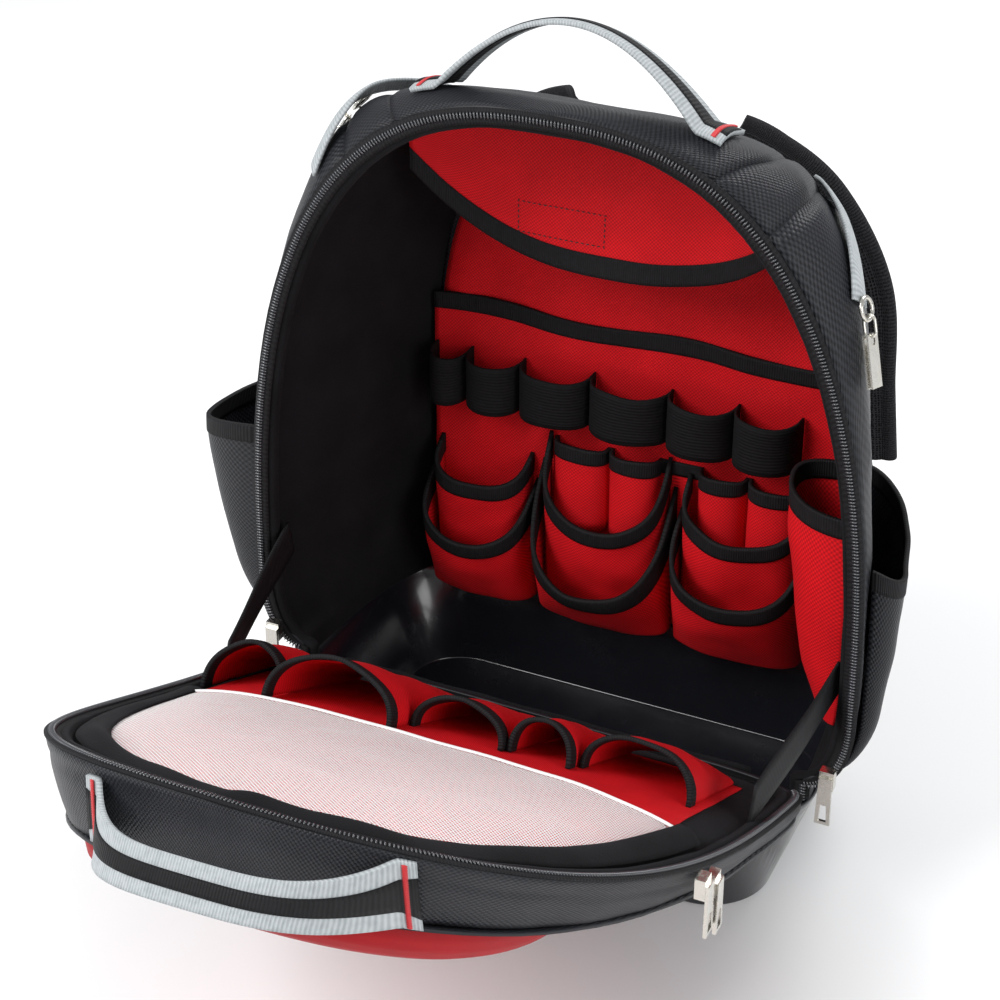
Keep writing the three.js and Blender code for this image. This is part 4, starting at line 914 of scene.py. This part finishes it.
def flap_skin(u, v):
    side = mix(-1, 1, u)
    x = FLAP_HALF * side
    rear = mix(FLAP_Y, MOUTH_Y + BODY_DEPTH / 2, min(1.0, abs(side)) ** 3)
    top = skin_z(x, rear, -BODY_WALL) - 1.2
    bottom = min(top - 4, FLAP_BOTTOM + FLAP_CORNER * min(1.0, abs(side)) ** 3)
    z = mix(top, bottom, v)
    fold = 2.2 * math.sin(x / 21 + z / 70) * v
    return Vector((x, rear - FLAP_BELLY * math.sin(math.pi * v / 2) * (1 - side ** 2) + fold
                   + rumple((x, rear, z), 45, 2.4), z))


flap = cloth("roof_flap", 80, 50, flap_skin, 1.4, [red_cloth])
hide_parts("top_flap")
# Its lower edge is cut on a curve, so its area is added up across it
flap_area = sum((flap_skin(k / 100, 1) - flap_skin(k / 100, 0)).length for k in range(101)) / 101
flap_area *= 2 * FLAP_HALF * MM ** 2


def flap_edge(u, v):
    side = mix(-1, 1, u)
    top, bottom = flap_skin(u, 0), flap_skin(u, 1)
    share = min(0.95, 14.0 / max(4.0, (bottom - top).length))
    return flap_skin(u, 1 + 0.008 - v * share)


cloth("flap_binding", 80, 6, flap_edge, 2.8, [tape])


# Pockets on the gusset: one outside on each side, one of red cloth inside the right wall.
POCKET_FRONT, POCKET_BACK, POCKET_TOP, POCKET_DROP, POCKET_FLOOR = -50.0, 64.0, 246.0, 14.0, 100.0


def side_pocket(node, side, rows, bulge, foot, inner, finish, sway):
    front, back, top, drop, floor = rows

    def at(u, v):
        angle = math.pi * min(1.0, max(0.0, u))
        y = mix(front, back, (1 - math.cos(angle)) / 2)
        level = min(1.0, max(0.0, v))
        z = mix(top - drop * math.sin(angle), floor, 1 - (1 - level) ** 1.6) + (level - v) * 60
        swell = 0.9 + 0.8 + bulge * math.sin(angle) ** 0.7 * mix(1, foot, level ** 1.5)
        ruck = rumple((side * 200, y, z), 30, sway) * math.sin(angle)
        skin = skin_x(y, z, -BODY_WALL) - swell + ruck if inner else skin_x(y, z) + swell + ruck
        return Vector((side * skin, y, z))
    pocket = cloth(node + "_cloth", 60, 40, at, 1.5, [finish])
    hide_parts(node)
    bound_edge(node + "_binding", 60, at, 0.05, 3.0, 0.012)


OUTER_ROWS = (POCKET_FRONT, POCKET_BACK, POCKET_TOP, POCKET_DROP, POCKET_FLOOR)
side_pocket("side_pocket_right", 1, OUTER_ROWS, 26.0, 0.1, False, ballistic, 1.6)
side_pocket("side_pocket_left", -1, OUTER_ROWS, 72.0, 0.25, False, ballistic, 3.0)
side_pocket("wall_pocket", 1, (-30.0, 34.0, 262.0, 0.0, 118.0), 38.0, 0.25, True, red_cloth, 2.4)


# Handles: grey polyester webbing with a black strip down its middle, doubled, its ends sewn flat
# with red bar tacks.
HANDLE_WIDTH, HANDLE_GRIP, HANDLE_HALF_SPAN, HANDLE_RISE = 38.0, 20.0, 78.0, 46.0
HANDLE_TAIL, HANDLE_Y = 15.0, -26.0
PANEL_HANDLE_WIDTH, PANEL_HANDLE_GRIP, PANEL_HANDLE_SPAN, PANEL_HANDLE_TAIL = 32.0, 22.0, 76.0, 8.0
PANEL_HANDLE_SHIFT, PANEL_HANDLE_STAND, PANEL_HANDLE_DROOP, PANEL_HANDLE_SEAT = 12.5, 22.0, 15.0, 0.53
grey_webbing = ribbed_finish("grey polyester webbing", "#b3b8ba", "#7d8385", 2.0, 0.65)
black_webbing = ribbed_finish("black polyester webbing", "#1a1a1c", "#070708", 2.0, 0.6)
red_thread_finish = new_finish("red polyester thread")
close_finish(red_thread_finish, add_node(red_thread_finish, "ShaderNodeBsdfPrincipled", {
    "Base Color": tone("#c0121c"), "Roughness": 0.5, "Sheen Weight": 0.2}))
black_thread = new_finish("black polyester thread")
close_finish(black_thread, add_node(black_thread, "ShaderNodeBsdfPrincipled", {
    "Base Color": tone("#0d0d0e"), "Roughness": 0.45, "Sheen Weight": 0.2}))


def proud(surface, s, u, lift):
    """The place above surface(s, u) at some height square to it, s millimetres from its middle."""
    low, high = max(0.0, u - 0.004), min(1.0, u + 0.004)
    along = surface(s, high, 0) - surface(s, low, 0)
    square = along.cross(surface(s + 1, u, 0) - surface(s - 1, u, 0)).normalized()
    if square.dot(surface(s, u, 1) - surface(s, u, 0)) < 0:
        square.negate()
    return surface(s, u, 0) + square * lift


def banded(name, across, along, surface, width, thickness, finish, lift=0.0):
    """A tape of some width along a surface, its middle at a height above it."""
    def at(u, v):
        s = mix(-0.5, 0.5, v) * width
        return proud(surface, s, u, lift) if lift else surface(s, u, 0)
    return cloth(name, along, across, at, thickness, [finish])


def stitch_rows(name, rows, length, finish, radius=0.45):
    """Lock stitches: short rounded lengths of thread along each row of points, with gaps."""
    bm = bmesh.new()
    for row in rows:
        for p, way in spaced(row, length * 1.35):
            up = Vector((0, 0, 1)) if abs(way.z) < 0.9 else Vector((0, 1, 0))
            side = way.cross(up).normalized()
            turn = Matrix((way, side, side.cross(way))).transposed().to_4x4()
            turn.translation = p
            bmesh.ops.create_icosphere(bm, subdivisions=1, radius=1,
                                       matrix=turn @ Matrix.Diagonal((length / 2, radius, radius, 1)))
    return put(name, bm, [finish])


def top_handle_surface(s, u, lift):
    x = mix(-1, 1, u) * (HANDLE_HALF_SPAN + HANDLE_TAIL)
    arc = max(0.0, 1 - (x / HANDLE_HALF_SPAN) ** 2)
    y = HANDLE_Y + s * mix(1, HANDLE_GRIP / HANDLE_WIDTH, arc)
    foot = max(abs(x), HANDLE_HALF_SPAN)
    return Vector((x, y, skin_z(foot, y) + 2.5 + HANDLE_RISE * arc + lift))


def panel_handle_surface(s, u, lift):
    across = mix(-1, 1, u) * (PANEL_HANDLE_SPAN + PANEL_HANDLE_TAIL)
    arc = max(0.0, 1 - (across / PANEL_HANDLE_SPAN) ** 4)
    x = PANEL_HANDLE_SHIFT + across
    far = rim_run(x)
    width = mix(1, PANEL_HANDLE_GRIP / PANEL_HANDLE_WIDTH, arc)
    drop = PANEL_HANDLE_SEAT * panel_depth(x, far) + s * width + PANEL_HANDLE_DROOP * arc
    seat = CLOTH_GAP + 1.5 - flare_at(x, far, drop) * (1 - arc)
    return panel_point(x, rim_run(x, seat) + PANEL_HANDLE_STAND * arc + lift, drop)


for name, surface, width, node, sides in (
        ("top_handle_webbing", top_handle_surface, HANDLE_WIDTH, "top_handle", (-1, 1)),
        ("panel_handle_webbing", panel_handle_surface, PANEL_HANDLE_WIDTH, "panel_handle", (1,))):
    webbing = banded(name, 10, 90, surface, width, 2.8, grey_webbing)
    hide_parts(node)
    for side in sides:
        def strip(s, u, lift, surface=surface):
            return surface(s * (1 + 0.75 * abs(2 * u - 1) ** 8), u, lift)
        banded(name + ("_strip" if side > 0 else "_strip_below"), 4, 90, strip, width * 0.36, 0.8,
               black_webbing, side * 1.6)


def bar_tack(name, surface, width, u):
    """A dense row of red stitches across a webbing, lying on its outer face."""
    count = round(width / TACK_PITCH)
    rows = []
    for k in range(count + 1):
        s = mix(-0.5, 0.5, k / count) * (width - 2)
        rows.append([proud(surface, s, u, TACK_LIFT), proud(surface, s, u + 0.002, TACK_LIFT)])
    stitch_rows(name, rows, TACK_LENGTH, red_thread_finish, 0.6)


TACK_PITCH, TACK_LENGTH, TACK_LIFT = 0.9, 3.6, 1.9
for name, surface, width in (("top_tack", top_handle_surface, HANDLE_WIDTH),
                             ("panel_tack", panel_handle_surface, PANEL_HANDLE_WIDTH)):
    bar_tack(name + "_right", surface, width, 0.97)
    bar_tack(name + "_left", surface, width, 0.03)

# A rectangle of black lock stitches holds the tape on the back of the flap.
flap_rows = []
for (x0, z0), (x1, z1) in zip(FLAP_BOX, FLAP_BOX[1:]):
    row = []
    for k in range(31):
        x, z = mix(x0, x1, k / 30), mix(z0, z1, k / 30)
        u = (x / FLAP_HALF + 1) / 2
        top, bottom = flap_skin(u, 0).z, flap_skin(u, 1).z
        row.append(flap_skin(u, (top - z) / (top - bottom)) + Vector((0, -0.9, 0)))
    flap_rows.append(row)
stitch_rows("flap_stitches", flap_rows, 2.6, black_thread, 0.4)


# Webbing over the shoulders of the body: grey, 25 mm wide, from the rear seam to a ring.
WEB_WIDTH, WEB_THICK, CLIMB_LENGTH = 25.0, 2.0, 400.0
SIDE_ROUTES = {
    "right": [(0.79, 0.595), (0.61, 0.550), (0.41, 0.490), (0.21, 0.425)],
    "left": [(0.61, 0.700), (0.41, 0.660), (0.23, 0.600), (0.11, 0.510)],
}
SIDE_SLACK = {"right": 1.0, "left": 5.0}


def curve_point(points, v):
    """Catmull-Rom curve through the points: the place at v and the way it runs."""
    points = [Vector(p) for p in points]
    points = [2 * points[0] - points[1]] + points + [2 * points[-1] - points[-2]]
    at = min(max(v, 0.0), 0.99999) * (len(points) - 3)
    k = int(at)
    t = at - k
    a, b, c, d = points[k:k + 4]
    place = 0.5 * ((2 * b) + (c - a) * t + (2 * a - 5 * b + 4 * c - d) * t * t
                   + (3 * b - a - 3 * c + d) * t ** 3)
    way = 0.5 * ((c - a) + 2 * (2 * a - 5 * b + 4 * c - d) * t + 3 * (3 * b - a - 3 * c + d) * t * t)
    return place, way.normalized()


def route_place(name, v, beside):
    place, way = curve_point([(d * BODY_DEPTH, c * CLIMB_LENGTH, 0) for d, c in SIDE_ROUTES[name]], v)
    return MOUTH_Y + place.x + way.y * beside, (place.y - way.x * beside) / CLIMB_LENGTH


def over_gusset(side, y, climb, lift):
    p = arch_point(y, climb, lift)
    return Vector((side * p.x, p.y, p.z))


for name, side in (("right", 1), ("left", -1)):
    def side_web(s, u, lift, name=name, side=side):
        y, climb = route_place(name, u, s)
        return over_gusset(side, y, climb, 1.6 + SIDE_SLACK[name] * math.sin(math.pi * u) + lift)
    webbing = banded("side_webbing_tape_" + name, 8, 50, side_web, WEB_WIDTH, 1.8,
                     grey_webbing)
    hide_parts("side_webbing_" + name)

# Hold straps: black webbing from the body's wall to the panel's lining, which keep the panel level.
for name, side in (("right", 1), ("left", -1)):
    hold_y, hold_z = MOUTH_Y + WEB_WIDTH / 2 + 1.5, HIP_Z + WEB_WIDTH
    hold_x = skin_x(hold_y + WEB_WIDTH / 2, hold_z, -BODY_WALL) - CLOTH_GAP - WEB_THICK / 2
    rest_x, rest_run = PANEL_HALF - ZIP_WIDTH - CLOTH_GAP * 3 - WEB_THICK / 2, PANEL_LENGTH * 0.24
    rest_drop = lining_drop(rest_x, rest_run) - CLOTH_GAP
    hold = Vector((hold_x, hold_y, hold_z))
    fall = panel_point(rest_x, rest_run, rest_drop - WEB_WIDTH / 2) - hold
    upward = Vector((0, -fall.z, fall.y)).normalized() * -WEB_WIDTH

    def hold_skin(s, u, lift, side=side, hold=hold, upward=upward, rest_x=rest_x, rest_run=rest_run,
                  rest_drop=rest_drop):
        v = s / WEB_WIDTH + 0.5
        p = (hold + upward * (v - 0.5)).lerp(panel_point(rest_x, rest_run, rest_drop - v * WEB_WIDTH), u)
        p.x += lift + 1.2 * math.sin(math.pi * u) * math.sin(3 * u + v)
        return Vector((side * p.x, p.y, p.z))
    strap = banded("hold_strap_" + name, 4, 40, hold_skin, WEB_WIDTH, 1.8, black_webbing)
    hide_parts("limit_strap_" + name)


# Hardware: nickel-plated steel wire rings and links, a bright folded clip and a short black tape
# on a chain. They hang over the gusset, close to its cloth.
RING_WIRE, RING_SIZE, LINK_WIRE, LINK_LENGTH, LINK_WIDTH = 2.6, 15.0, 1.8, 14.0, 8.5
METAL_LIFT, RING_LIFT, CHAIN_LINKS = 4.9, 4.2, 4
nickel = new_finish("nickel plate")
place = add_node(nickel, "ShaderNodeTexCoord")
smear = add_node(nickel, "ShaderNodeTexNoise", {"Scale": 160.0, "Detail": 4.0}, {
    "Vector": place.outputs["Object"]})
rough = add_node(nickel, "ShaderNodeMapRange", {
    "From Min": 0.3, "From Max": 0.7, "To Min": 0.16, "To Max": 0.34}, {"Value": smear.outputs[0]})
close_finish(nickel, add_node(nickel, "ShaderNodeBsdfPrincipled", {
    "Base Color": tone("#cfccc4"), "Metallic": 1.0}, {"Roughness": rough.outputs[0]}))


def hang_from(side, y, climb, lean):
    """Places on a line that falls over the gusset from a point, leaning forward or back."""
    def over(run, lift, beside=0.0):
        return over_gusset(side, y + lean * run + beside,
                           climb - math.sqrt(1 - lean ** 2) * run / CLIMB_LENGTH, lift)

    def at(fall, lift, beside=0.0):
        steps = max(1, math.ceil(abs(fall)))
        run = 0.0
        for _ in range(steps):
            run += fall / steps / (over(run - 0.5, METAL_LIFT) - over(run + 0.5, METAL_LIFT)).length
        return over(run, lift, beside)
    return at


def set_on(at, fall, lift, spin):
    """Turns a piece's length to the fall and its thin side to the cloth, then spins it."""
    upward = (at(fall - 1, lift) - at(fall + 1, lift)).normalized()
    outward = at(fall, lift + 1) - at(fall, lift)
    across = outward.cross(upward).normalized()
    turn = Matrix((across, upward.cross(across), upward)).transposed().to_4x4()
    turn.translation = at(fall, lift)
    return turn @ Matrix.Rotation(spin, 4, "Z")


def wire_link(name, node, length, width, wire, turn):
    """A closed wire link, its length along local Z."""
    straight, radius = max(0.0, length - width) / 2, (width - wire) / 2

    def at(u, v):
        angle, round_wire = u * 2 * math.pi, v * 2 * math.pi
        end = math.copysign(straight, math.sin(angle)) if abs(math.sin(angle)) > 1e-6 else 0.0
        out = radius + math.cos(round_wire) * wire / 2
        return turn @ Vector((out * math.cos(angle), math.sin(round_wire) * wire / 2,
                              end + out * math.sin(angle)))
    piece = cloth(name, 40, 12, at, 0, [nickel], closed=True)
    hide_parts(node)


quarter = math.pi / 2
link_inner = LINK_LENGTH / 2 - LINK_WIRE
first_link = RING_SIZE / 2 - RING_WIRE + link_inner - 0.3
clip_y, clip_climb = route_place("right", 1, 0)
clip_hang = hang_from(1, clip_y, clip_climb, -0.45)
ring_fall = RING_SIZE / 2 - RING_WIRE
wire_link("webbing_ring", "clip_ring", RING_SIZE, RING_SIZE, RING_WIRE,
          set_on(clip_hang, ring_fall, RING_LIFT, 0))
wire_link("clip_link_wire", "clip_link", LINK_LENGTH, LINK_WIDTH, LINK_WIRE,
          set_on(clip_hang, ring_fall + first_link, METAL_LIFT, quarter))

chain_lift = METAL_LIFT + SIDE_SLACK["left"] / 3
chain_y, chain_climb = route_place("left", 0.6, -(WEB_WIDTH + RING_SIZE) / 2 - 0.3)
chain_hang = hang_from(-1, chain_y, chain_climb, 0)
wire_link("chain_ring_wire", "chain_ring", RING_SIZE, RING_SIZE, RING_WIRE,
          set_on(chain_hang, 0, chain_lift, 0))
link_step = link_inner * 2 - 0.3
for k in range(CHAIN_LINKS):
    wire_link(f"chain_wire_{k + 1}", f"chain_link_{k + 1}", LINK_LENGTH, LINK_WIDTH, LINK_WIRE,
              set_on(chain_hang, first_link + k * link_step, chain_lift, (0 if k % 2 else 1) * quarter))
tape_start = first_link + (CHAIN_LINKS - 1) * link_step + LINK_LENGTH / 2 + 0.3


def chain_tape_skin(s, u, lift):
    return chain_hang(tape_start + 85.0 * u, mix(chain_lift, WEB_THICK, min(1, u * 3)) + lift, s)


chain_tape = banded("chain_tape", 4, 30, chain_tape_skin, 14.0, 1.8, black_webbing)
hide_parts("chain_strap")


# Harness: a back pad and two curved shoulder straps of foam, covered in black air mesh. Below each
# strap, a ladder buckle of black acetal takes up the webbing that is sewn low on the body.
air_mesh = new_finish("black air mesh")
uv = add_node(air_mesh, "ShaderNodeUVMap", {"uv_map": "cloth"})
cells = add_node(air_mesh, "ShaderNodeTexVoronoi", {"Scale": 0.5, "Randomness": 0.25}, {
    "Vector": uv.outputs[0]})
hole = add_node(air_mesh, "ShaderNodeMapRange", {"From Min": 0.25, "From Max": 0.5}, {
    "Value": cells.outputs["Distance"]})
colour = add_node(air_mesh, "ShaderNodeMix", {"data_type": "RGBA", 6: tone("#070708"), 7: tone("#2e2e31")}, {
    0: hole.outputs[0]})
relief = add_node(air_mesh, "ShaderNodeBump", {"Strength": 0.8, "Distance": 0.0009}, {
    "Height": hole.outputs[0]})
close_finish(air_mesh, add_node(air_mesh, "ShaderNodeBsdfPrincipled", {
    "Roughness": 0.85, "Specular IOR Level": 0.2}, {
    "Base Color": colour.outputs[2], "Normal": relief.outputs[0]}))

PAD_Y = BACK_Y + 0.3 + BACK_WALL + 0.3
PAD_THICK, PAD_HALF, PAD_BOTTOM, PAD_TOP, STRAP_THICK = 10.0, 128.0, 100.0, 350.0, 12.0


def pad_skin(u, v):
    """The pad's whole skin: v runs from the middle of its back over the edge and round."""
    angle = u * 2 * math.pi
    c, s = math.cos(angle), math.sin(angle)
    round_share = (abs(c) ** 6 + abs(s) ** 6) ** (-1 / 6)
    share = min(1.0, 2 * v) if v < 0.5 else 1 - (2 * v - 1)
    z = mix(PAD_BOTTOM, PAD_TOP, (s * round_share * share + 1) / 2)
    narrow = 1 - 0.2 * max(0.0, (z - 300) / 50) ** 2
    x = PAD_HALF * c * round_share * share * narrow
    swell = math.sqrt(max(0.0, 1 - max(0.0, (share - 0.86) / 0.14) ** 2))
    middle = PAD_Y + PAD_THICK / 2
    if v >= 0.5:
        return Vector((x, middle - PAD_THICK / 2 * swell, z))
    channel = 4.5 * math.exp(-(((z - 100) % 62 - 31) / 5) ** 2) + 3.5 * math.exp(-(x / 6) ** 2)
    return Vector((x, middle + (PAD_THICK / 2 - channel) * swell, z))


pad = cloth("back_pad_mesh", 96, 64, pad_skin, 0, [air_mesh], closed=True)
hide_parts("back_pad")

PAD_FACE = PAD_Y + PAD_THICK
STRAP_ROUTE = [(0.22, -0.31, 0.832), (0.32, 0.14, 0.814), (0.46, 0.75, 0.768),
               (0.59, 1.03, 0.672), (0.625, 0.83, 0.550), (0.655, 0.67, 0.450)]
WEB_ROUTE = [(0.685, 0.58, 0.379), (0.745, 0.25, 0.333), (0.765, -0.10, 0.273),
             (0.750, -0.45, 0.218), (0.690, -0.72, 0.182)]
for name, side in (("right", 1), ("left", -1)):
    def strap_line(route, v, side=side):
        place, way = curve_point([(side * x * BODY_HALF, PAD_FACE + y * STRAP_THICK, z * BODY_TOP)
                                  for x, y, z in route], v)
        sideways = Vector((way.z, 0, -way.x)).normalized()
        return place, sideways, way.cross(sideways).normalized()

    def strap_skin(u, v, strap_line=strap_line):
        place, sideways, outward = strap_line(STRAP_ROUTE, min(1.0, max(0.0, (v - 0.02) / 0.96)))
        angle = u * 2 * math.pi
        close = 0.0 if v in (0, 1) else 1.0
        c, s = math.cos(angle), math.sin(angle)
        wide = math.copysign(abs(c) ** 0.35, c) * 35.0
        deep = math.copysign(abs(s) ** 0.7, s) * (6.0 - 1.8 * math.exp(-((abs(wide) - 27) / 2.5) ** 2))
        return place + (sideways * wide + outward * deep) * close

    strap = cloth("shoulder_pad_" + name, 40, 80, strap_skin, 0, [air_mesh], closed=True)
    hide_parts("shoulder_strap_" + name)

    def web_skin(s, u, lift, strap_line=strap_line):
        place, sideways, outward = strap_line(WEB_ROUTE, u)
        return place + sideways * s + outward * lift
    web = banded("strap_tape_" + name, 6, 50, web_skin, WEB_WIDTH, 1.8, black_webbing)
    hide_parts("strap_webbing_" + name)

# Acetal: black, satin, moulded with square edges. The buckles keep their solids.
acetal = new_finish("black acetal")
close_finish(acetal, add_node(acetal, "ShaderNodeBsdfPrincipled", {
    "Base Color": tone("#141416"), "Roughness": 0.38, "IOR": 1.48}))
KEPT_FINISHES = {
    "strap_buckle_right": acetal, "strap_buckle_left": acetal, "clip_plate": nickel,
    "zip_pull_right": nickel, "zip_pull_left": nickel, "panel_pull_1": nickel, "panel_pull_2": nickel,
}
for node, finish in KEPT_FINISHES.items():
    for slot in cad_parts[node].material_slots:
        slot.material = finish
